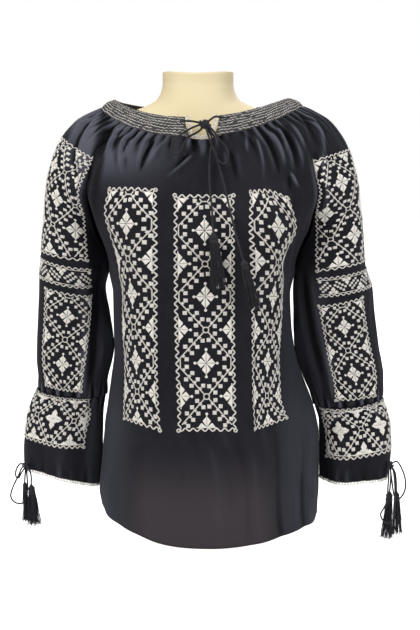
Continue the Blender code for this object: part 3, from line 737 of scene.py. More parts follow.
def formFinish(name, f):
    material, tree, shader, place, tone = shaded(name, f, 5.0, 0.15)
    base = mixColour(tree, tone["Patch"], f["colour"], f["worn"])
    feed(tree, shader.inputs["Base Color"], mixColour(tree, tone["Fleck"], base, f["fleck"]))
    rough = newNode(tree, "ShaderNodeMapRange", {"Value": tone["Patch"], "To Min": 0.36, "To Max": 0.52})
    feed(tree, shader.inputs["Roughness"], rough.outputs[0])
    grain = newNode(tree, "ShaderNodeTexNoise", {"Vector": place["Object"], "Scale": 420.0})
    bumped(tree, shader, grain.outputs[0], 0.12, f["depth"])
    return material


makers = {"blackCotton": clothFinish, "ivoryForm": formFinish}
materials = {name: makers.get(name, threadFinish)(name, f) for name, f in finishes.items()}
print("finishes ready")


# Geometry Nodes trees: a motif on every point, and a thread along every path
def finishTree(tree, given, made):
    # every tree ends in real geometry with its finish on it
    real = newNode(tree, "GeometryNodeRealizeInstances", {0: made})
    smooth = newNode(tree, "GeometryNodeSetShadeSmooth", {0: real.outputs[0]})
    paint = {"Geometry": smooth.outputs[0], "Material": given["Finish"]}
    painted = newNode(tree, "GeometryNodeSetMaterial", paint)
    newNode(tree, "NodeGroupOutput", {0: painted.outputs[0]})


def makeStampTree():
    # one motif on every point, turned and stretched by the point's own values
    inputs = (("Geometry", "Geometry", None), ("Motif", "Object", None), ("Finish", "Material", None))
    tree, given, keys = makeTree("GeometryNodeTree", "stampOnPoints", inputs, (("Geometry", "Geometry"),))
    turn, stretch = (
        newNode(tree, "GeometryNodeInputNamedAttribute", {"Name": name}, data_type="FLOAT_VECTOR")
        for name in ("turn", "stretch")
    )
    place = newNode(tree, "GeometryNodeInstanceOnPoints", {
        "Points": given["Geometry"],
        "Instance": newNode(tree, "GeometryNodeObjectInfo", {"Object": given["Motif"]}).outputs["Geometry"],
        "Rotation": newNode(tree, "FunctionNodeEulerToRotation", {0: turn.outputs["Attribute"]}).outputs[0],
        "Scale": stretch.outputs["Attribute"],
    })
    finishTree(tree, given, place.outputs[0])
    return tree, keys


def makeThreadTree():
    # a thread of even thickness along every edge path
    inputs = (
        ("Geometry", "Geometry", None), ("Thickness", "Float", 1.0), ("Sides", "Int", 5),
        ("Finish", "Material", None),
    )
    tree, given, keys = makeTree("GeometryNodeTree", "threadOnPaths", inputs, (("Geometry", "Geometry"),))
    path = newNode(tree, "GeometryNodeMeshToCurve", {"Mesh": given["Geometry"]})
    circle = {"Resolution": given["Sides"], "Radius": maths(tree, "MULTIPLY", given["Thickness"], 0.5)}
    profile = newNode(tree, "GeometryNodeCurvePrimitiveCircle", circle)
    swept = {"Curve": path.outputs[0], "Profile Curve": profile.outputs[0], "Fill Caps": True}
    finishTree(tree, given, newNode(tree, "GeometryNodeCurveToMesh", swept).outputs[0])
    return tree, keys


trees = {"stamp": makeStampTree(), "thread": makeThreadTree()}


def grown(kind, base, finish, **values):
    # runs a tree on a plain mesh, and gives the result as a mesh of its own
    tree, keys = trees[kind]
    holder = linked("holder", base)
    modifier = holder.modifiers.new(kind, "NODES")
    modifier.node_group = tree
    for label, value in {**values, "Finish": materials[finish]}.items():
        modifier[keys[label]] = value
    graph = bpy.context.evaluated_depsgraph_get()
    mesh = bpy.data.meshes.new_from_object(holder.evaluated_get(graph), depsgraph=graph)
    bpy.data.objects.remove(holder)
    mesh.materials.clear()
    mesh.materials.append(materials[finish])
    mesh.polygons.foreach_set("material_index", np.zeros(len(mesh.polygons), np.int32))
    return mesh


def stamped(places, turns, stretches, motif, finish):
    base = plainMesh("points", places)
    for label, values in (("turn", turns), ("stretch", stretches)):
        attribute = base.attributes.new(label, "FLOAT_VECTOR", "POINT")
        attribute.data.foreach_set("vector", np.array(values, np.float32).ravel())
    return grown("stamp", base, finish, Motif=motif)


def threaded(paths, thickness, sides, finish):
    points, edges = [], []
    for path in paths:
        edges += [(len(points) + i, len(points) + i + 1) for i in range(len(path) - 1)]
        points += [tuple(p) for p in path]
    return grown("thread", plainMesh("paths", points, edges), finish, Thickness=thickness, Sides=sides)


def facedOut(mesh):
    bm = bmesh.new()
    bm.from_mesh(mesh)
    bmesh.ops.recalc_face_normals(bm, faces=bm.faces)
    bm.to_mesh(mesh)
    bm.free()


def ringFaces(rows, count):
    # quads round a tube of rings, and one flat face over each end
    faces = []
    for i in range(rows - 1):
        for j in range(count):
            k = (j + 1) % count
            faces.append((i * count + j, i * count + k, (i + 1) * count + k, (i + 1) * count + j))
    return faces + [tuple(range(count)), tuple(range((rows - 1) * count, rows * count))]


def ringed(name, rings, uvOf):
    # a closed motif from rings of equal length
    points = [p for ring in rings for p in ring]
    mesh = plainMesh(name, points, faces=ringFaces(len(rings), len(rings[0])))
    layer = mesh.uv_layers.new(name="UVMap")
    for loop in mesh.loops:
        layer.data[loop.index].uv = uvOf(points[loop.vertex_index])
    facedOut(mesh)
    obj = linked(name, mesh)
    obj.hide_render = True
    return obj


# the cloth: the blouse's shape, with fine gathers and creases on it
cloth = {
    "thickness": 1.2,
    "gathers": 104,
    "gatherRise": (0.7, 2.4),
    "gatherReach": (0.12, 0.46),
    "crumple": 0.8,
    "fullness": 9.0,  # how far the sleeves' fronts stand out
    "seamDip": 0.9,
    "sideTrim": 0.0006,
    "topTrim": 0.0016,
}
rng = np.random.default_rng(11)
gatherRows = [
    (
        (i + 0.5 + rng.uniform(-0.3, 0.3)) * 360 / cloth["gathers"],
        rng.uniform(*cloth["gatherRise"]),
        rng.uniform(*cloth["gatherReach"]),
        rng.uniform(1.1, 1.8),
        rng.uniform(-3.0, 3.0),
    )
    for i in range(cloth["gathers"])
]


def gatherRise(turn, drop):
    # many uneven small pleats that run out of the neckband
    rise = 0 * turn
    for middle, height, reach, width, lean in gatherRows:
        share = np.clip(drop / reach, 0, 1)
        pleat = hill(turnFrom(turn, middle + lean * share) / (width * (1 + 0.9 * share)))
        rise = rise + height * pleat * ease(1.25 - 1.25 * share)
    return rise - 0.5


def crumpleRise(points):
    # soft, mostly upright creases of worn cotton
    x, y, z = points[..., 0], points[..., 1], points[..., 2]
    side = x + 1.3 * y
    drift = 9 * np.sin(z / 61 + x / 47) + 6 * np.sin(z / 33 - y / 29)
    rise = 0.55 * np.sin((side + drift) / 9.5 + np.sin(z / 70) * 2)
    rise = rise + 0.45 * np.sin((side - 1.4 * drift) / 5.6 + z / 90)
    rise = rise + 0.35 * np.sin((side * 0.6 + 2.1 * drift + z * 0.35) / 7.0)
    return cloth["crumple"] * rise * (0.55 + 0.45 * np.sin(z / 57 + side / 83))


def meeting(points, side, reach):
    # the arm and the body lie close together below the elbow, most of all on the wearer's right
    x, z = np.abs(points[..., 0]), points[..., 2]
    near = ease((172 - x) / 22) if side else ease((x - 112) / 22)
    fullest = np.where(points[..., 0] < 0, reach, 0)
    return fullest * near * ease((z - 72) / 30) * ease((250 - z) / 50)


def fineRise(turn, v, points, u):
    seam = cloth["seamDip"] * hill(np.minimum(u, 1 - u) * 100 / 2.2)
    return gatherRise(turn, np.clip(v, 0, 1)) * (v < 1) + crumpleRise(points) * ease(v / 0.4) - seam


def panel(middle):
    # the front of the body, round turn 0, or its back, round turn 180
    def surface(u, v):
        turn = middle - seamTurn + 2 * seamTurn * u
        slit = slitDepth * np.maximum(0, 1 - np.abs(turn) / slitHalfTurn)
        drop = np.where(v < 1, slit + (1 - slit) * v, v)
        points = bodyBase(turn, drop)
        wide = middle + (turn - middle) / seamTurn * 90
        rise = yokeRise(turn, drop) * (drop < 1) + trunkRise(wide, points[..., 2]) * (drop > 0.6)
        return points, rise + meeting(points, 0, 0.5) + fineRise(turn, v, points, u)

    return surface


def sleeve(side):
    def surface(u, v):
        points, turn, around = sleeveBase(side, u, v), sleeveTurn(side, u), 360 * u
        folds = withFolds(0 * u, around, points[..., 2], sleeveFolds, 0.35, 1.15, 0.4)
        rise = yokeRise(turn, np.clip(v, 0, 1)) + folds * ease((v - 0.6) / 0.3)
        rise = rise + swelling(side, around, points[..., 2])
        rise = rise + 1.5 * np.cos(np.radians(around) * 20) * ease((v - 1.86) / 0.14)
        fine = fineRise(turn, v, points, np.where(v > 1.3, 0.5, u))
        full = cloth["fullness"] * hill((u - 0.29) / 0.27) * ease((v - 0.12) / 0.35) * ease((1.5 - v) / 0.5)
        pucker = 1.1 * np.cos(np.radians(around) * 33 + 2 * np.sin(9 * u)) * ease((v - 1.8) / 0.2)
        return points, rise + fine + pucker + full + meeting(points, side, 1.6)

    return surface


def flounce(side):
    def surface(u, v):
        points, turn = flounceBase(side, u, v), np.radians(360 * u)
        top = 1.6 * np.cos(turn * 20) * ease(1 - v / 0.25)
        hem = 0.6 * np.cos(turn * 20 + 1) * ease((v - 0.72) / 0.28)
        drape = 2.2 * np.cos(turn * 5 + side) * ease(v / 0.4)
        pucker = 1.0 * np.cos(turn * 33 + 2 * np.sin(2 * turn)) * ease(1 - v / 0.3)
        worn = 0.8 + 1.1 * ease((v - 0.62) / 0.25)
        rise = top + hem + drape + pucker + worn * crumpleRise(points)
        return points, rise + meeting(points, side, 1.5)

    return surface


def reliefOf(rise):
    # how far each point stands above or below the cloth on both sides of it
    columns = np.arange(rise.shape[1])
    near = [rise[:, np.clip(columns + k, 0, len(columns) - 1)] for k in range(-6, 7)]
    return np.clip((rise - np.mean(near, axis=0)) / 2.6, -1, 1)


def fadeOf(points):
    # painted light: a highlight on the wearer's right shoulder, down the sides and a little low on the body,
    # and light showing through the thin cloth near the hem's middle
    x, z = points[..., 0], points[..., 2]
    shoulder = ease((z - 480) / 88) * (0.05 + 0.95 * ease((20 - x) / 150)) * ease((185 - np.abs(x)) / 28)
    sides = 0.26 * ease((np.abs(x) - 80) / 40) * ease((430 - z) / 60) * ease((172 - np.abs(x)) / 10)
    thin = ease((200 - z) / 150) * ease((125 - np.abs(x)) / 55)
    return np.maximum(shoulder, sides) + 0.10 * ease((250 - z) / 60) * (np.abs(x) < 172), thin


def foldShade(points):
    # the deep fold between the body and the wearer's right sleeve
    x, y, z = points[..., 0], points[..., 1], points[..., 2]
    middle = np.interp(z, (350, 487, 592), (-145, -141, -125))
    return hill((x - middle) / 15) * ease((z - 290) / 60) * (y < 0)


def skinOf(surface, side, us, vs, byHeight=False):
    # a fine grid of the cloth: its points, the way out, and how far across and down each point lies
    u, v = np.meshgrid(us, vs)
    points = sampled(surface, side, u, v)[0]
    plain, rise = surface(u, v)
    across, down = np.zeros_like(u), np.zeros_like(v)
    across[:, 1:] = np.cumsum(np.linalg.norm(np.diff(plain, axis=1), axis=2), axis=1)
    down[1:] = np.cumsum(np.linalg.norm(np.diff(plain, axis=0), axis=2), axis=0)
    middle = np.array([np.interp(0.5, us, row) for row in across])
    # a painted highlight share, and painted light through the thin hem
    fade, thin = fadeOf(points)
    shade = foldShade(points)
    return {
        "points": points,
        "out": unit(np.cross(np.gradient(points, axis=0), np.gradient(points, axis=1)) * side),
        "across": across - middle[:, None],
        "down": -plain[..., 2] if byHeight else down,
        "length": down,
        # painted light and shade: fold crests and valleys with the deep fold's shade, the lit shoulder and
        # sides, and light through the thin hem
        "marks": {"relief": reliefOf(rise) - 0.6 * shade, "fade": fade * (1 - shade), "thin": thin},
    }


def look(grid, i, j):
    # reads a grid between its rows and columns
    i, j = np.clip(i, 0, grid.shape[0] - 1.001), np.clip(j, 0, grid.shape[1] - 1.001)
    a, b = i.astype(int), j.astype(int)
    s, t = i - a, j - b
    if grid.ndim == 3:
        s, t = s[:, None], t[:, None]
    upper = grid[a, b] * (1 - t) + grid[a, b + 1] * t
    lower = grid[a + 1, b] * (1 - t) + grid[a + 1, b + 1] * t
    return upper * (1 - s) + lower * s


def settle(skin, across, down):
    # finds the grid place of cloth measures by Newton's rule
    rows, columns = skin["across"].shape
    j = np.interp(across, skin["across"][rows // 2], np.arange(columns))
    i = np.interp(down, skin["down"][:, columns // 2], np.arange(rows))
    for _ in range(9):
        gapA, gapD = across - look(skin["across"], i, j), down - look(skin["down"], i, j)
        (ai, di), (aj, dj) = (
            [look(skin[way], i + p, j + q) - look(skin[way], i - p, j - q) for way in ("across", "down")]
            for p, q in ((0.5, 0), (0, 0.5))
        )
        both = ai * dj - aj * di
        both = np.where(np.abs(both) < 1e-6, 1e-6, both)
        i = np.clip(i + np.clip((gapA * dj - aj * gapD) / both, -12, 12), 0.5, rows - 1.5)
        j = np.clip(j + np.clip((ai * gapD - gapA * di) / both, -12, 12), 0.5, columns - 1.5)
    return i, j


def clothShell(name, skin, side, finish, thickness, closed=False):
    points = skin["points"] * mm
    rows = len(points)
    if closed:
        points = points[:, :-1]
    count = points.shape[1]
    index = np.arange(rows * count).reshape(rows, count)
    left, right = (index, np.roll(index, -1, axis=1)) if closed else (index[:, :-1], index[:, 1:])
    order = (left[:-1], left[1:], right[1:], right[:-1])[::side]
    faces = np.stack([corner.ravel() for corner in order], -1)
    mesh = plainMesh(name, points.reshape(-1, 3).tolist(), faces=faces.tolist())
    flat = np.stack([skin["across"], -skin["length"]], -1) * mm
    corners = np.stack([np.arange(count) + k for k in (0, 0, 1, 1)], -1)[:, ::side]
    if not closed:
        corners = corners[:-1]
    rowOf = np.array((0, 1, 1, 0))[::side]
    grid = flat[(np.arange(rows - 1)[:, None, None] + rowOf), corners[None]]
    layer = mesh.uv_layers.new(name="UVMap")
    layer.data.foreach_set("uv", grid.reshape(-1).astype(np.float32))
    for mark, values in skin["marks"].items():
        attribute = mesh.attributes.new(mark, "FLOAT", "POINT")
        attribute.data.foreach_set("value", values[:, :count].astype(np.float32).ravel())
    mesh.shade_smooth()
    mesh.materials.append(materials[finish])
    obj = linked(name, mesh)
    wall = obj.modifiers.new("wall", "SOLIDIFY")
    wall.thickness, wall.offset, wall.use_rim = thickness * mm, -1, True
    area = sum(face.area for face in mesh.polygons)
    print(name, "cloth area", round(area, 4), "square metres")
    return obj


def spacedRows(*runs):
    values = [np.linspace(start, end, count, endpoint=False) for start, end, count in runs]
    return np.append(np.concatenate(values), runs[-1][1])


def openColumns(count):
    return np.linspace(cloth["sideTrim"], 1 - cloth["sideTrim"], count)


bodyRows = spacedRows((cloth["topTrim"], 1.0, 74), (1.0, 2.0, 62))
backRows = spacedRows((cloth["topTrim"], 1.0, 60), (1.0, 2.0, 50))
sleeveRows = spacedRows((cloth["topTrim"], 1.0, 74), (1.0, 1.9992, 60))
flounceRows = spacedRows((0.0012, 1.0, 44))
skins = {
    "frontPanel": skinOf(panel(0), 1, openColumns(173), bodyRows, True),
    "backPanel": skinOf(panel(180), 1, openColumns(141), backRows, True),
}
sides = ((-1, "right"), (1, "left"))
for side, word in sides:
    skins[word + "Sleeve"] = skinOf(sleeve(side), side, openColumns(173), sleeveRows)
    skins[word + "Flounce"] = skinOf(flounce(side), side, np.linspace(0, 1, 161), flounceRows)
print("cloth surfaces ready")

clothPieces = {}
for word in ("frontPanel", "backPanel", "rightSleeve", "leftSleeve", "rightFlounce", "leftFlounce"):
    side, closed = -1 if word.startswith("right") else 1, word.endswith("Flounce")
    clothPieces[word] = clothShell(word, skins[word], side, "blackCotton", cloth["thickness"], closed)


def nodeOf(name):
    # a piece's own CAD node has the same name in small letters
    return "".join("_" + letter.lower() if letter.isupper() else letter for letter in name)


def settled(obj, slot, *nodes):
    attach(obj, "root")
    if nodes:
        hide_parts(*nodes)
    return obj


# embroidery: padded petals and squares, and a lattice and a wavy border of thread
stitchwork = {
    "petalRise": 1.0,
    "padRise": 0.9,
    "threadRise": 0.4,
    "square": 5.1,
    "diamond": 3.6,
    "seed": 3.6,
    "ring": 3.5,
    "inset": 2.7,
    "wave": 1.8,
    "pitch": 9.7,
    "seedRise": 0.8,
    "stemAndSeed": (0.96, 1.15, 1.22),  # in lengths of the petal
    "squaresAlong": (0.49, 0.188),  # the middle of a row of squares and their distance, in half cells
    "squaresBeside": (0.111, 0.095),
    "threads": {"line": 1.7, "wave": 2.0, "stem": 1.1},
}


def petalMotif(name, half):
    # half of a petal, one unit long and wide: a padded satin stitch from the middle of the flower to its tip
    rings = []
    profile = ((0.04, 0.05), (0.3, 0.5), (0.52, 0.92), (0.6, 1.0), (0.75, 0.66), (0.9, 0.28), (1.0, 0.08))
    for along, wide in profile:
        low, high = 0.045, max(0.09, wide)
        spots = ((low, -0.3), (low, 0.6), ((low + high) / 2, 1.0), (high, 0.5), (high, -0.3))
        rings.append([(along, half * across, rise * min(1, 0.4 + 1.4 * wide)) for across, rise in spots])
    return ringed(name, rings, lambda p: (p[0] * 2.0, p[1] * 1.2))


def padMotif(name, corners, bulge):
    rings = []
    for size, rise in ((1.0, -0.3), (1.0, 0.45), (0.8, 0.85), (0.35, 1.0)):
        turns = [math.pi / 4 + 2 * math.pi * k / corners for k in range(corners)]
        rings.append([(size * bulge * math.cos(t), size * bulge * math.sin(t), rise) for t in turns])
    return ringed(name, rings, lambda p: (p[0] * 0.8, p[1] * 0.8))


motifs = {
    "left": petalMotif("petalLeft", 1),
    "right": petalMotif("petalRight", -1),
    "seed": padMotif("seedStitch", 6, 0.55),
    "square": padMotif("squareStitch", 4, 0.70),
}


class Chart:
    # a flat embroidery in millimetres: across to the right and down from its top left corner
    def __init__(self, width, height, fine=1.0, stars=False):
        self.width, self.height, self.fine, self.stars = width, height, fine, stars
        self.stamps = {kind: [] for kind in motifs}
        self.threads = {kind: [] for kind in stitchwork["threads"]}
        self.rings = set()

    def inside(self, x, y, margin):
        return margin <= x <= self.width - margin and margin <= y <= self.height - margin

    def stamp(self, kind, x, y, turn, length, wide, rise):
        self.stamps[kind].append((x, y, turn, length, wide, rise))

    def thread(self, kind, points):
        # only the run that lies on the chart
        kept = [p for p in points if self.inside(*p, 1.2)]
        if len(kept) > 1:
            self.threads[kind].append(kept)

    def petal(self, x, y, turn, length, wide):
        for kind, half in (("left", 1), ("right", -1)):
            reach = 0.5 * length * math.cos(turn) - half * 0.4 * wide * math.sin(turn)
            rise = 0.5 * length * math.sin(turn) + half * 0.4 * wide * math.cos(turn)
            if self.inside(x + reach, y - rise, stitchwork["inset"] - 0.6):
                self.stamp(kind, x, y, turn, length, wide, stitchwork["petalRise"])

    def flower(self, x, y, tall, wide, thick=(0.30, 0.28)):
        # four petals, each with a seed on a short stem; on an edge it is cut and stands on a straight base
        inset, seed = stitchwork["inset"], stitchwork["seed"] * (0.4 + 0.6 * self.fine)
        cx, cy = min(max(x, inset), self.width - inset), min(max(y, inset), self.height - inset)
        for quarter in range(4):
            turn = quarter * math.pi / 2
            ahead, up = math.cos(turn), math.sin(turn)
            length = tall if quarter % 2 else wide
            broad = thick[0] * wide / 0.65 if quarter % 2 else thick[1] * tall / 0.67
            self.petal(cx, cy, turn, length, broad)
            ends = [(cx + r * length * ahead, cy - r * length * up) for r in stitchwork["stemAndSeed"]]
            if self.inside(*ends[2], inset + 1.5) and not self.stars:
                self.stamp("seed", *ends[2], 0, seed, seed, stitchwork["seedRise"])
                self.thread("stem", ends[:2])
        if self.stars:
            for quarter in range(4):
                self.petal(cx, cy, (quarter + 0.5) * math.pi / 2, 0.58 * wide, 0.3 * wide)
        for moved, dx, dy in ((cx != x, 0, 1.15 * tall), (cy != y, 1.15 * wide, 0)):
            if moved:
                self.thread("stem", [(cx + dx * t, cy + dy * t) for t in np.linspace(-1, 1, 9)])

    def lattice(self, sx, sy, parity, left=0.0, lean=0.0):
        # flowers and small rings by turns, joined by slanting lines with squares along both sides
        size, small = stitchwork["square"] * self.fine, stitchwork["diamond"] * self.fine
        middle, apart = stitchwork["squaresAlong"]
        aside, above = stitchwork["squaresBeside"]
        for j in range(-1, round(self.height / sy) + 2):
            for i in range(-2, round(self.width / sx) + 3):
                x, y = left + i * sx + lean * j * sy, j * sy
                if (i + j) % 2 == parity:
                    if self.inside(x, y, -0.4 * sx) and self.stars:
                        self.flower(x, y, 0.42 * sy, 0.45 * sx, (0.21, 0.20))
                    elif self.inside(x, y, -2.0):
                        self.flower(x, y, 0.336 * sy, max(0.325 * sx, 0.235 * sy))
                    continue
                out = self.gate(x, y, sx, sy)
                for rise in (-1, 1):
                    dx, dy = sx + lean * rise * sy, rise * sy
                    a, b = out(1, rise), self.gate(x + dx, y + dy, sx, sy)(-1, -rise)
                    start, stop = (x + a[0], y + a[1]), (x + dx + b[0], y + dy + b[1])
                    steps = np.linspace(0, 1, 13)
                    self.thread("line", [tuple(p + (q - p) * t for p, q in zip(start, stop)) for t in steps])
                    for k in range(4):
                        share = middle + (k - 1.5) * apart
                        px, py = x + dx * share, y + dy * share
                        if self.inside(px, py, 2.2):
                            self.stamp("square", px, py, math.pi / 4, small, small, 1.0)
                        for sign in (-1, 1):
                            spot = (px + sign * aside * sx, py - sign * rise * above * sy)
                            if self.inside(*spot, 0.4 * size + 1.6):
                                self.stamp("square", *spot, 0, size, size, stitchwork["padRise"])

    def gate(self, x, y, sx, sy):
        # how the slanting lines leave a crossing: round a ring, or along the edge they have come to
        ring, near = stitchwork["ring"] * min(1, sx / 33), 0.12 * sx
        spot = (round(x, 2), round(y, 2))
        new = spot not in self.rings
        self.rings.add(spot)
        if abs(x) < near or abs(x - self.width) < near:
            inner = 0.10 * sx * (1 if abs(x) < near else -1) - (x if abs(x) < near else x - self.width)
            if new:
                self.thread("line", [(x + inner, y + t * 0.15 * sy) for t in (-1, 0, 1)])
            return lambda dx, dy: (inner, dy * 0.15 * sy)
        if abs(y) < near:
            if new:
                self.thread("line", [(x + t * ring, 0.153 * sy) for t in (-1, 0, 1)])
            return lambda dx, dy: (dx * ring, 0.153 * sy - y)
        if abs(y - self.height) < near:
            return lambda dx, dy: (0, 0)
        if new and self.inside(x, y, ring + 1.5):
            turns, size = np.radians(22.5 + 45 * np.arange(9)), 1.08 * ring
            self.thread("line", [(x + size * math.cos(t), y + size * math.sin(t)) for t in turns])
        return lambda dx, dy: (dx * 0.72 * ring, dy * 0.72 * ring)

    def wave(self, start, stop):
        (x0, y0), (x1, y1) = start, stop
        length = math.hypot(x1 - x0, y1 - y0)
        count = max(2, round(length / stitchwork["pitch"] / self.fine))
        t = np.linspace(0, 1, count * 8 + 1)
        off = stitchwork["wave"] * self.fine * np.sin(t * count * 2 * math.pi) / length
        return np.stack([x0 + (x1 - x0) * t + off * (y0 - y1), y0 + (y1 - y0) * t + off * (x1 - x0)], -1)

    def border(self):
        # one wavy thread all round, with a small loop outside each corner
        corners = ((0, 0), (self.width, 0), (self.width, self.height), (0, self.height))
        path = []
        for k, corner in enumerate(corners):
            out = math.radians(90 * k - 135)
            turns = out + math.pi - np.linspace(0.3, 2 * math.pi - 0.3, 9)
            spots = np.stack([np.cos(turns) + math.cos(out), np.sin(turns) + math.sin(out)], -1)
            path.append(np.array(corner) + 1.9 * self.fine * spots)
            path.append(self.wave(corner, corners[(k + 1) % 4])[1:-1])
        self.threads["wave"].append(np.vstack(path))
        for y in (3.3, self.height - 3.3) if self.stars else ():
            self.thread("stem", [(x, y) for x in np.linspace(2, self.width - 2, 70)])

    def strip(self, count):
        # half flowers that hang and stand by turns, with two slanting rows of squares between
        step = self.width / count
        for y in (0, self.height):
            self.threads["wave"].append(self.wave((0, y), (self.width, y)))
            edge = abs(y - 2.4)
            self.thread("stem", [(x, edge) for x in np.linspace(1.5, self.width - 1.5, 60)])
        for k in range(count + 1):
            x, down = k * step, -1 if k % 2 else 1
            y = 3.2 if down > 0 else self.height - 3.2
            self.petal(x, y, -down * math.pi / 2, 0.36 * self.height, 2.6)
            for turn in (0, math.pi):
                self.petal(x, y + 1.2 * down, turn, 6.0, 2.4)
            if k == count:
                continue
            for share in (0.24, 0.41, 0.58, 0.76):
                slope = (0.5 - share) * 0.60 * self.height * down
                for off in (-1, 1):
                    px, py = x + share * step + 1.3 * off, self.height / 2 + slope + off * 2.1 * down
                    self.stamp("square", px, py, 0, 2.9, 2.9, 0.7)

    def meshes(self):
        # cream for flowers, seeds and stems, muted for squares and the other threads
        made = []
        for kind, rows in self.stamps.items():
            if rows:
                places, turns = [(x, -y, 0) for x, y, *_ in rows], [(0, 0, row[2]) for row in rows]
                finish = "mutedThread" if kind == "square" else "creamThread"
                made.append(stamped(places, turns, [row[3:] for row in rows], motifs[kind], finish))
        for kind, paths in self.threads.items():
            if paths:
                raised = [[(x, -y, stitchwork["threadRise"]) for x, y in path] for path in paths]
                finish = "creamThread" if kind == "stem" else "mutedThread"
                made.append(threaded(raised, stitchwork["threads"][kind] * self.fine, 5, finish))
        return made


def netAt(net, s, t):
    # a smooth sheet of (across, down) through three places across and any number of rows down
    net = np.array(net, float)
    rows = np.linspace(0, 1, len(net))
    over = t - np.clip(t, 0, 1)
    ends = np.where(over[:, None, None] < 0, net[1] - net[0], net[-1] - net[-2]) * (len(net) - 1)
    found = over[:, None, None] * ends
    for k in range(3):
        for c in range(2):
            found[:, k, c] += monotone(rows, net[:, k, c])(t)
    shares = np.stack([2 * (s - 0.5) * (s - 1), -4 * s * (s - 1), 2 * s * (s - 0.5)], -1)
    return (shares[:, :, None] * found).sum(1)


def layOn(skin, chart, net, mesh, flip):
    # lays a flat mesh on the cloth: by measure through a net, or straight on the grid
    points = np.empty((len(mesh.vertices), 3), np.float32)
    mesh.vertices.foreach_get("co", points.ravel())
    points = points.astype(float)
    s, t = points[:, 0] / chart.width, -points[:, 1] / chart.height
    if net is None:
        rows, columns = skin["across"].shape
        i, j = t * (rows - 1), s * (columns - 1)
    else:
        i, j = settle(skin, *netAt(net, s, t).T)
    flat = np.where(points[:, 2] > 0, 1, 0.5) * points[:, 2]
    laid = look(skin["points"], i, j) + look(skin["out"], i, j) * flat[:, None]
    mesh.vertices.foreach_set("co", (laid * mm).astype(np.float32).ravel())
    if flip:
        mesh.flip_normals()
    mesh.update()


def joined(name, meshes):
    objects = [linked(name + str(k), mesh) for k, mesh in enumerate(meshes)]
    with bpy.context.temp_override(active_object=objects[0], selected_editable_objects=objects):
        bpy.ops.object.join()
    objects[0].name = objects[0].data.name = name
    return objects[0]


# each chart: cloth, width, height, fineness, half cells across and down, parity, left, lean, and its net
# on that cloth
charts = (
    ("frontPanel", 70, 302, 1, 35, 43.14, 0, 0, 0, (
        ((-32.5, -491), (3, -491), (38, -491)),
        ((-33, -344), (4.5, -344), (39.5, -344)),
        ((-29.5, -190.5), (6, -190.5), (42, -190.5)))),
    ("frontPanel", 68, 304, 1, 34, 43.4, 0, 0, 0, (
        ((-119, -499), (-91, -500), (-59, -498)),
        ((-132, -457), (-98, -457), (-58, -457)),
        ((-126, -411), (-101, -412), (-59, -412)),
        ((-117, -365), (-97.5, -366), (-60, -367)),
        ((-118, -320), (-95, -322), (-61, -323)),
        ((-114, -276), (-92, -278), (-61, -279)),
        ((-113, -234), (-90, -236), (-60, -236)),
        ((-112, -198), (-89, -195), (-57.5, -190)))),
    ("frontPanel", 68, 302, 1, 34, 43.14, 0, 0, 0, (
        ((61, -496), (84, -497), (110, -488)),
        ((61, -455), (100, -452), (131, -446)),
        ((64, -411), (104, -407), (116, -404)),
        ((66, -365), (101, -362), (122, -360)),
        ((67, -320), (94, -315), (115, -312)),
        ((67, -278), (89, -277), (108, -274)),
        ((67, -235), (86.5, -232), (107, -230)),
        ((69.5, -191), (88, -194), (115, -200)))),
    ("rightSleeve", 196, 158, 0.75, 23, 39.5, 1, 0.5, 0.08, (
        ((-100, 61), (0, 65), (98, 61)),
        ((-98, 133), (4, 134), (98, 134)),
        ((-100, 217), (12, 218), (100, 218)))),
    ("rightSleeve", 68, 135, 0.8, 34, 33.75, 0, 0, 0, (
        ((-111, 269), (-79, 266), (-48, 266)),
        ((-104, 331), (-74, 330), (-40, 331)),
        ((-87, 400), (-62, 402), (-36, 402)))),
    ("rightFlounce", 231, 66, 0.8, 27.5, 33, 1, -5.8, 0, (
        ((-102, 2), (0, 2.5), (116, 3)),
        ((-118, 32), (0, 32), (116, 32)),
        ((-118, 69), (0, 68), (116, 65)))),
    ("leftSleeve", 206, 164, 0.75, 24.5, 41, 0, -2, 0.136, (
        ((-104, 71), (3, 86), (104, 71)),
        ((-104, 152), (8, 156), (104, 152)),
        ((-101, 237), (13, 233), (104, 238)))),
    ("leftSleeve", 63, 137, 0.8, 31.5, 34.25, 0, 0, 0, (
        ((-109, 286), (-81, 284), (-53, 282)),
        ((-104, 350), (-77, 350), (-42, 350)),
        ((-92, 420), (-63, 421), (-33, 423)))),
    ("leftFlounce", 243, 66, 0.8, 27, 33, 0, 0, 0, (
        ((-120, 2.5), (-2, 3), (120, 3)),
        ((-135, 31), (-3, 31), (120, 31)),
        ((-139, 71), (-2, 70), (120, 69)))),
)
strips = (
    ("rightSleeve", 212, 25, 12, (((-106, 230), (0, 229), (106, 230)), ((-111, 255), (0, 254), (106, 255)))),
    ("leftSleeve", 212, 24, 12, (((-105, 248), (0, 247), (106, 248)), ((-108, 272), (0, 271), (106, 272)))),
)


def laidOut(word, chart, net):
    for mesh in chart.meshes():
        layOn(skins[word], chart, net, mesh, word.startswith("right"))
        needlework[word].append(mesh)


needlework = {word: [] for word in skins}
for word, width, height, fine, *pattern, net in charts:
    chart = Chart(width, height, fine, word.endswith("Flounce"))
    chart.lattice(*pattern)
    chart.border()
    laidOut(word, chart, net)
for word, width, height, count, net in strips:
    chart = Chart(width, height, 0.7)
    chart.strip(count)
    laidOut(word, chart, net)
for word, meshes in needlework.items():
    if meshes:
        worked = settled(joined(word + "Embroidery", meshes), "cream_thread")
        triangles = sum(len(face.vertices) - 2 for face in worked.data.polygons)
        print(word, "embroidery:", triangles, "triangles")


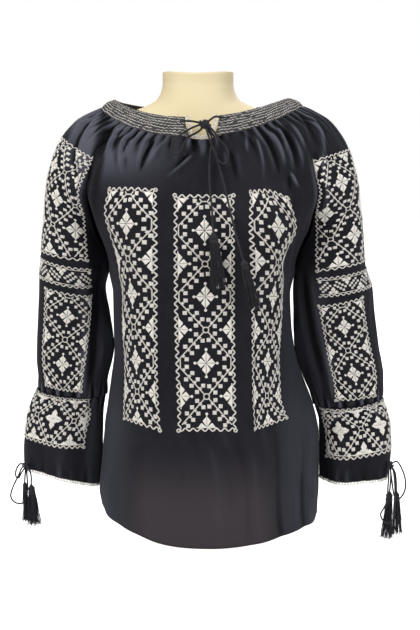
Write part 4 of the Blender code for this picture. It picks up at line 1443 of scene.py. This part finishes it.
# smocked neckband: fine pleats under rows of wavy stitches
smocking = {
    "pleats": 150,
    "pleatRise": 0.8,
    "rows": 7,
    "stitch": (4.9, 1.8, 0.95),
    "lean": 0.28,
    "missing": 0.05,
    "thickness": 2.0,
    "narrowing": 0.42,
    "dip": 0.24,  # how much lower the band's edge hangs beside the slit
    "rollRise": 0.35,
}


def slitTurn(v):
    # the opening narrows toward its foot
    return slitHalfTurn * (1 - smocking["narrowing"] * ease(v / 1.1))


def pleatedBand(u, v):
    half = slitTurn(v)
    turn = half + (360 - 2 * half) * u
    dip = smocking["dip"] * np.maximum(0, 1 - np.abs(turnFrom(turn, 0)) / slitHalfTurn)
    points = ring(bandSizes, turn, v * (1 + dip))
    turn = np.radians(turn)
    pleat = smocking["pleatRise"] * (0.5 + 0.5 * np.cos(turn * smocking["pleats"]))
    rolls = smocking["rollRise"] * np.cos(v * smocking["rows"] * 2 * math.pi)
    return points, 0.2 + pleat * (0.8 + 0.2 * np.sin(turn * 17)) + rolls


bandSkin = skinOf(pleatedBand, 1, openColumns(1201), np.linspace(0.0, 0.992, 25))
band = clothShell("smockedBand", bandSkin, 1, "greySmocking", smocking["thickness"])


def stitchMotif():
    rings = [
        [(0.5 * a, 0.5 * r * math.cos(t), 0.5 * r * math.sin(t) + 0.5) for t in (0.5, 1.6, 2.7, 4.7)]
        for a, r in ((-1, 0.25), (-0.6, 0.9), (0.6, 0.9), (1, 0.25))
    ]
    return ringed("smockingStitch", rings, lambda p: (p[0], p[1]))


def smockingStitches(s):
    middle = bandSkin["across"][12]
    chart = Chart(middle[-1] - middle[0], bandSkin["down"][-1, 600])
    pitch = chart.width / s["pleats"]
    places, turns, sizes = [], [], []
    for row in range(s["rows"]):
        for k in range(s["pleats"] - row % 2):
            if rng.uniform() < s["missing"]:
                continue
            x = (k + 0.5 + 0.5 * (row % 2)) * pitch
            y = (row + 0.55) / s["rows"] * chart.height + 0.45 * math.sin(k * 0.9 + row)
            places.append((x, -y + rng.uniform(-0.2, 0.2), 0))
            turns.append((0, 0, rng.uniform(-0.2, 0.2) + (s["lean"] if row % 2 else -s["lean"])))
            sizes.append([size * rng.uniform(0.85, 1.1) for size in s["stitch"]])
    mesh = stamped(places, turns, sizes, stitchMotif(), "smockingThread")
    layOn(bandSkin, chart, None, mesh, False)
    return linked("smockingStitches", mesh)


settled(smockingStitches(smocking), "grey_smocking")
print("neckband smocked")


# picot edgings round the slit and the hand openings
edging = {
    "thread": 1.3,
    "picot": 3.4,
    "picotSpacing": 4.3,
    "loop": 0.24,
    "inset": 0.6,
    "slitGap": 1.2,
    "footRise": 1.5,
    "hemDrop": 0.7,
    "ways": {"right": (1, -0.3, 0), "foot": (0, -0.3, 1), "left": (-1, -0.3, 0)},
}


def evenPath(points, spacing):
    run = np.append(0, np.cumsum(np.linalg.norm(np.diff(points, axis=0), axis=1)))
    at = np.linspace(0, run[-1], max(3, round(run[-1] / spacing) + 1))
    return np.stack([np.interp(at, run, points[:, k]) for k in range(3)], -1)


def smoothPath(points, spacing):
    p = np.array(points, float)
    p = np.vstack([2 * p[0] - p[1], p, 2 * p[-1] - p[-2]])
    t = np.linspace(0, 1, 16, endpoint=False)[:, None]
    runs = []
    for a, b, c, d in zip(p, p[1:], p[2:], p[3:]):
        bend = t**2 * (2 * a - 5 * b + 4 * c - d) + t**3 * (3 * b - a - 3 * c + d)
        runs.append(b + (t * (c - a) + bend) / 2)
    return evenPath(np.vstack(runs + [p[-2:-1]]), spacing)


def picotMotif():
    # a half ring of thread that stands on the edge
    rings, thick = [], edging["loop"]
    for angle in np.linspace(0, math.pi, 9):
        x, z = math.cos(angle), math.sin(angle)
        turns = [(thick * math.cos(t), thick * math.sin(t)) for t in (0, 1.26, 2.51, 3.77, 5.03)]
        rings.append([((0.55 + out) * x, side, (1 + out) * z) for out, side in turns])
    return ringed("picotLoop", rings, lambda p: (p[2] * 3, p[0]))


picot = picotMotif()


def edgingOf(name, path, out):
    # a corded edge with a small loop every few millimetres, pointing along out
    core = threaded([path * mm], edging["thread"] * mm, 7, "creamThread")
    spots = evenPath(path, edging["picotSpacing"])
    along = unit(np.gradient(spots, axis=0))
    reached, asked = np.linspace(0, 1, len(spots)), np.linspace(0, 1, len(out))
    away = np.stack([np.interp(reached, asked, out[:, k]) for k in range(3)], -1)
    away = unit(away - along * (away * along).sum(1, keepdims=True))
    turns = [tuple(Matrix((x, np.cross(z, x), z)).transposed().to_euler()) for x, z in zip(along, away)]
    sizes = [(edging["picot"] * mm,) * 3] * len(spots)
    loops = stamped(spots * mm, turns, sizes, picot, "creamThread")
    return settled(joined(name, [core, loops]), "cream_thread", nodeOf(name))


def slitEdge():
    # down one side of the opening, across its foot along the panel's top, and up the other side
    downs, footShares = np.linspace(0.01, 0.9, 7), np.linspace(-0.85, 0.85, 15)
    gap = math.degrees((edging["slitGap"] + seamGap) / float(yokeSizes("wide", 0)))
    clear = slitTurn(downs) - 1.35 * gap
    u = 0.5 + footShares * clear[-1] / 2 / seamTurn
    foot, out = sampled(panel(0), 1, u, np.full(len(u), cloth["topTrim"]))
    path = np.vstack([
        ring(bandSizes, -clear, downs),
        foot - out * edging["inset"] + [0, 0, edging["footRise"]],
        ring(bandSizes, clear[::-1], downs[::-1]),
    ])
    counts = (len(downs), len(u), len(downs))
    return path, np.vstack([np.tile(way, (count, 1)) for count, way in zip(counts, edging["ways"].values())])


path, inward = slitEdge()
edgingOf("slitEdging", evenPath(path, 0.9), inward)
for side, word in sides:
    skin = skins[word + "Flounce"]
    hem = skin["points"][-1] - skin["out"][-1] * edging["inset"] - [0, 0, edging["hemDrop"]]
    edgingOf(word + "FlounceEdging", evenPath(hem, 1.2), np.array([(0, 0, -1.0)] * 2))
print("edgings ready")


# tie cords, knots and tassels
ties = {
    "neck": {"cord": 2.6, "knotCord": 3.3},
    "sleeve": {"cord": 2.2, "knotCord": 2.2},
    # centre and size
    "knots": {
        "neckKnot": ((3.5, -107, 579), (17, 11, 12)),
        "rightSleeveKnot": ((-246.2, -34.7, 119), (11, 9, 9)),
        "leftSleeveKnot": ((260.5, -37.1, 121), (10, 9, 10)),
    },
    # top, end, head radius, end radius and strands
    "tassels": {
        "neckTasselRight": ((14, -131, 446), (21, -132, 376), 5.5, 12.0, 110),
        "neckTasselLeft": ((51, -135, 413), (66, -133, 352), 5.0, 9.5, 95),
        "rightSleeveTasselBack": ((-247, -42, 97), (-246, -42, 39), 3.4, 6.0, 60),
        "rightSleeveTasselFront": ((-235, -57, 98), (-231, -60, 41), 5.0, 12.0, 95),
        "leftSleeveTasselBack": ((268, -47, 85), (272, -46, 23), 4.2, 8.5, 75),
        "leftSleeveTasselFront": ((257, -54, 87), (254, -57, 20), 5.0, 10.0, 90),
    },
    # tassel or None, CAD nodes where they are not the cord's own name, and route
    "routes": {
        "neckCordRight": (None, ("neck_tie_right", "neck_loop_left"), (
            (-27, -87.5, 584), (-21, -94.5, 584), (-12, -103, 583), (4, -107, 579), (13, -112, 572),
            (21, -111, 561), (29, -109, 552), (33, -109, 541), (27, -110, 531), (19, -113.5, 537),
            (13, -114.5, 551), (8, -115, 565), (5, -110, 575))),
        "neckCordLeft": (None, ("neck_tie_left", "neck_loop_right"), (
            (27, -86.5, 589), (22, -94, 589), (15, -104, 588), (4, -107, 580), (-6, -112, 577),
            (-19, -111, 571), (-30, -108, 563), (-37, -106, 553), (-34, -105, 544), (-26, -105, 546),
            (-22, -105, 557), (-16, -105, 564), (-5, -105, 570), (2, -106, 576))),
        "neckEndRight": ("neckTasselRight", None, (
            (4, -107, 577), (9, -108.5, 570), (12.3, -109.5, 562), (11.3, -109.5, 552), (9.5, -110, 531),
            (9.5, -117, 505), (12, -125, 480))),
        "neckEndLeft": ("neckTasselLeft", None, (
            (6, -106, 577), (10, -104.5, 572), (15.5, -106, 563), (16, -106.5, 550), (19.5, -109, 533),
            (25.7, -115, 512), (31, -123, 490), (36, -130, 468), (43, -134, 440))),
        "rightSleeveSmallLoop": (None, None, (
            (-247, -36, 120), (-253, -40, 123), (-258, -42, 116), (-259, -43, 107), (-255, -44, 104),
            (-251, -43, 111), (-247, -36, 117))),
        "rightSleeveBigLoop": (None, None, (
            (-248, -34, 118), (-253, -32, 114), (-258, -31, 103), (-266, -30, 87), (-270, -30, 73),
            (-265, -30, 64), (-256, -30, 62), (-249, -30, 67), (-246, -30, 85), (-246, -31.5, 106),
            (-245, -34, 118))),
        "rightSleeveEndBack": ("rightSleeveTasselBack", None, (
            (-246.2, -34.7, 119), (-247, -37, 110), (-247, -40, 104))),
        "rightSleeveEndFront": ("rightSleeveTasselFront", None, (
            (-245, -35.5, 119), (-240, -43, 115), (-236, -51, 109))),
        "leftSleeveOuterLoop": (None, None, (
            (262, -37, 122), (269, -39, 126), (276, -40, 116), (281, -40, 102), (282, -40, 90),
            (279, -40, 79), (272, -39, 71), (267, -37, 77), (264, -36, 95), (262, -35, 109),
            (261, -36, 119))),
        "leftSleeveInnerLoop": (None, None, (
            (260, -39, 121), (257, -45, 117), (255, -54, 106), (253, -61, 93), (252, -66, 80),
            (247, -67, 69), (243, -67, 60), (247, -68, 51), (255, -70, 49), (261, -70, 60),
            (263, -62, 88), (263, -50, 112), (261.5, -41, 119))),
        "leftSleeveEndBack": ("leftSleeveTasselBack", None, (
            (260.5, -37.1, 121), (266, -42, 112), (267.5, -45.5, 100))),
        "leftSleeveEndFront": ("leftSleeveTasselFront", None, (
            (260, -38.5, 120), (260, -44, 111), (258.5, -51, 99))),
    },
    "runIn": 24,  # how far an end runs on inside its tassel
}


def sizesOf(name):
    return ties["neck" if name.startswith("neck") else "sleeve"]


def knotPiece(name, centre, size):
    # turns of cord wound round the crossing, with one laid over them
    thick = sizesOf(name)["knotCord"]
    t = np.linspace(0, 1, 70)
    turn, sweep = t * 2 * math.pi * 3, math.pi * t
    sx, sy, sz = (s / 2 - thick / 2 for s in size)
    bulge = 0.72 + 0.28 * np.sin(sweep)
    wound = np.stack([sx * (2 * t - 1) * 0.95, -sy * np.cos(turn) * bulge, sz * np.sin(turn) * bulge], -1)
    over = np.stack([0.25 * sx * np.sin(2 * sweep), -sy * 1.05 * np.sin(sweep), sz * np.cos(sweep)], -1)
    mesh = threaded([(path + centre) * mm for path in (wound, over)], thick * mm, 8, "blackCord")
    return settled(linked(name, mesh), "black_cord", nodeOf(name))


def strandMotif():
    rings = []
    for along in np.linspace(0, 1, 9):
        x, y = 0.5 * math.sin(along * 5.0), 0.35 * math.sin(along * 7.1)
        wide = 0.5 * (1 - 0.35 * along)
        turns = (0, 1.57, 3.14, 4.71)
        rings.append([(x + wide * math.cos(t), y + wide * math.sin(t), -along) for t in turns])
    return ringed("tasselStrand", rings, lambda p: (p[2] * 30, p[0] * 2))


strand = strandMotif()
tassel = {
    "headLength": 11.0,
    # the head's outline: share of its radius, and of its length
    "profile": (
        (0.28, -0.08), (0.42, 0.03), (0.54, 0.11), (0.72, 0.22), (0.88, 0.34), (0.93, 0.43), (0.80, 0.54),
        (0.70, 0.60), (0.72, 0.68), (0.86, 0.76), (0.98, 0.9), (0.9, 1.06),
    ),
    "binding": {"thick": 1.0, "pitch": 0.9, "middle": 0.57, "radius": 0.80},
    "strand": 0.95,
    "skirtFrom": 0.85,
    "skirtWidth": 0.86,
    "goldenTurn": 2.39996,
}


def tasselPiece(name, top, end, head, spread, count):
    # a bound head and a skirt of loose strands
    top, end, s = np.array(top, float), np.array(end, float), tassel
    down, length = unit(end - top), np.linalg.norm(end - top)
    right = unit(np.cross(down, [0, 1, 0]))
    ahead = np.cross(right, down)

    def around(turns):
        turns = np.asarray(turns)[..., None]
        return np.cos(turns) * right + np.sin(turns) * ahead

    turns = np.linspace(0, 2 * math.pi, 28, endpoint=False)
    ripple = (1 + 0.05 * np.cos(turns * 14))[:, None]
    rings = [
        (top + down * s["headLength"] * deep + head * wide * ripple * around(turns)) * mm
        for wide, deep in s["profile"]
    ]
    body = ringed(name + "Head", rings, lambda p: (p[0] * 200, p[2] * 40)).data
    body.materials.append(materials["blackCord"])
    body.shade_smooth()
    wrap, b = np.linspace(0, 3.2, 60), s["binding"]
    depth = s["headLength"] * b["middle"] + b["pitch"] * (wrap - wrap[-1] / 2)
    wound = top + down * depth[:, None] + head * b["radius"] * around(wrap * 2 * math.pi)
    binding = threaded([wound * mm], b["thick"] * mm, 6, "blackCord")
    places, leans, sizes = [], [], []
    for k in range(count):
        offset = math.sqrt((k + 0.5) / count) * around(k * s["goldenTurn"])
        start = top + down * s["headLength"] * s["skirtFrom"] + offset * head * s["skirtWidth"]
        reach = (length - s["headLength"] * s["skirtFrom"]) * rng.uniform(0.88, 1.0)
        flare = spread * rng.uniform(0.75, 1.0) - head * s["skirtWidth"]
        run = down * reach + offset * flare + rng.normal(0, 0.5, 3)
        x, y, z = -unit(run)
        # the strand's own axis is tipped after its spin round that axis
        tip = Matrix.Rotation(math.atan2(x, z), 3, "Y") @ Matrix.Rotation(-math.asin(y), 3, "X")
        tip = tip @ Matrix.Rotation(rng.uniform(0, 6.28), 3, "Z")
        places.append(start * mm)
        leans.append(tuple(tip.to_euler()))
        sizes.append((s["strand"] * mm, s["strand"] * mm, np.linalg.norm(run) * mm))
    skirt = stamped(places, leans, sizes, strand, "blackCord")
    return settled(joined(name, [body.copy(), binding, skirt]), "black_cord", nodeOf(name))


knots = {name: knotPiece(name, *row) for name, row in ties["knots"].items()}
tassels = {name: tasselPiece(name, *row) for name, row in ties["tassels"].items()}


def cordPiece(name, hangs, nodes, route):
    route, thick = list(route), sizesOf(name)["cord"]
    if hangs:
        top, end = (np.array(p, float) for p in ties["tassels"][hangs][:2])
        route += [tuple(top + unit(end - top) * ties["runIn"] * share) for share in (0, 0.5, 1)]
    fine = smoothPath(route, 0.25)
    length = np.linalg.norm(np.diff(fine, axis=0), axis=1).sum()
    points = evenPath(fine, max(1.4, length / 90))
    curve = bpy.data.curves.new(name, "CURVE")
    curve.dimensions = "3D"
    curve.bevel_depth, curve.bevel_resolution = thick / 2 * mm, 4
    curve.use_fill_caps = True
    spline = curve.splines.new("POLY")
    spline.points.add(len(points) - 1)
    for spot, point in zip(spline.points, points):
        spot.co = (*(point * mm), 1)
    curve.materials.append(materials["blackCord"])
    obj = settled(linked(name, curve), "black_cord", *(nodes or [nodeOf(name)]))
    print(name, "is", round(length), "mm long")


for name, row in ties["routes"].items():
    cordPiece(name, *row)


# the dress form
form = {"columns": 96, "rows": 120, "rimInset": 0.9, "rimDrop": 1.2}


def formPiece(s):
    rings = np.array(formRings, float)
    stations, at = np.arange(len(rings)), np.linspace(0, len(rings) - 1, s["rows"])
    table = np.stack([monotone(stations, column)(at) for column in rings.T], -1)
    turn = np.linspace(0, 360, s["columns"], endpoint=False)
    across, forward = rounded(turn)
    points = []
    for zFront, zSide, zBack, middle, wide, frontReach, backReach in table:
        reach = np.where(forward > 0, -frontReach, -backReach)
        ends = np.where(forward > 0, zFront, zBack)
        z = zSide + (ends - zSide) * np.cos(np.radians(turn)) ** 2
        points.append(np.stack([middle + wide * across, reach * forward, z], -1))
    inset, middle = s["rimInset"], points[0][:, 0].mean()
    rim = points[0] * [inset, inset, 1] + [middle * (1 - inset), 0, 0]
    points[0] = points[0] - [0, 0, s["rimDrop"]]
    points = [rim] + points
    mesh = plainMesh("dressForm", np.vstack(points) * mm, faces=ringFaces(len(points), s["columns"]))
    facedOut(mesh)
    mesh.shade_smooth()
    mesh.set_sharp_from_angle(angle=math.radians(45))
    mesh.materials.append(materials["ivoryForm"])
    return settled(linked("dressForm", mesh), "ivory_form", nodeOf("dressForm"))


formPiece(form)
settled(band, "grey_smocking", "neckband")
for word in skins:
    settled(clothPieces[word], "black_cotton", nodeOf(word))

for obj in [o for o in scene.objects if o.type == "MESH" and o.hide_render and "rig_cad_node" not in o]:
    bpy.data.objects.remove(obj)
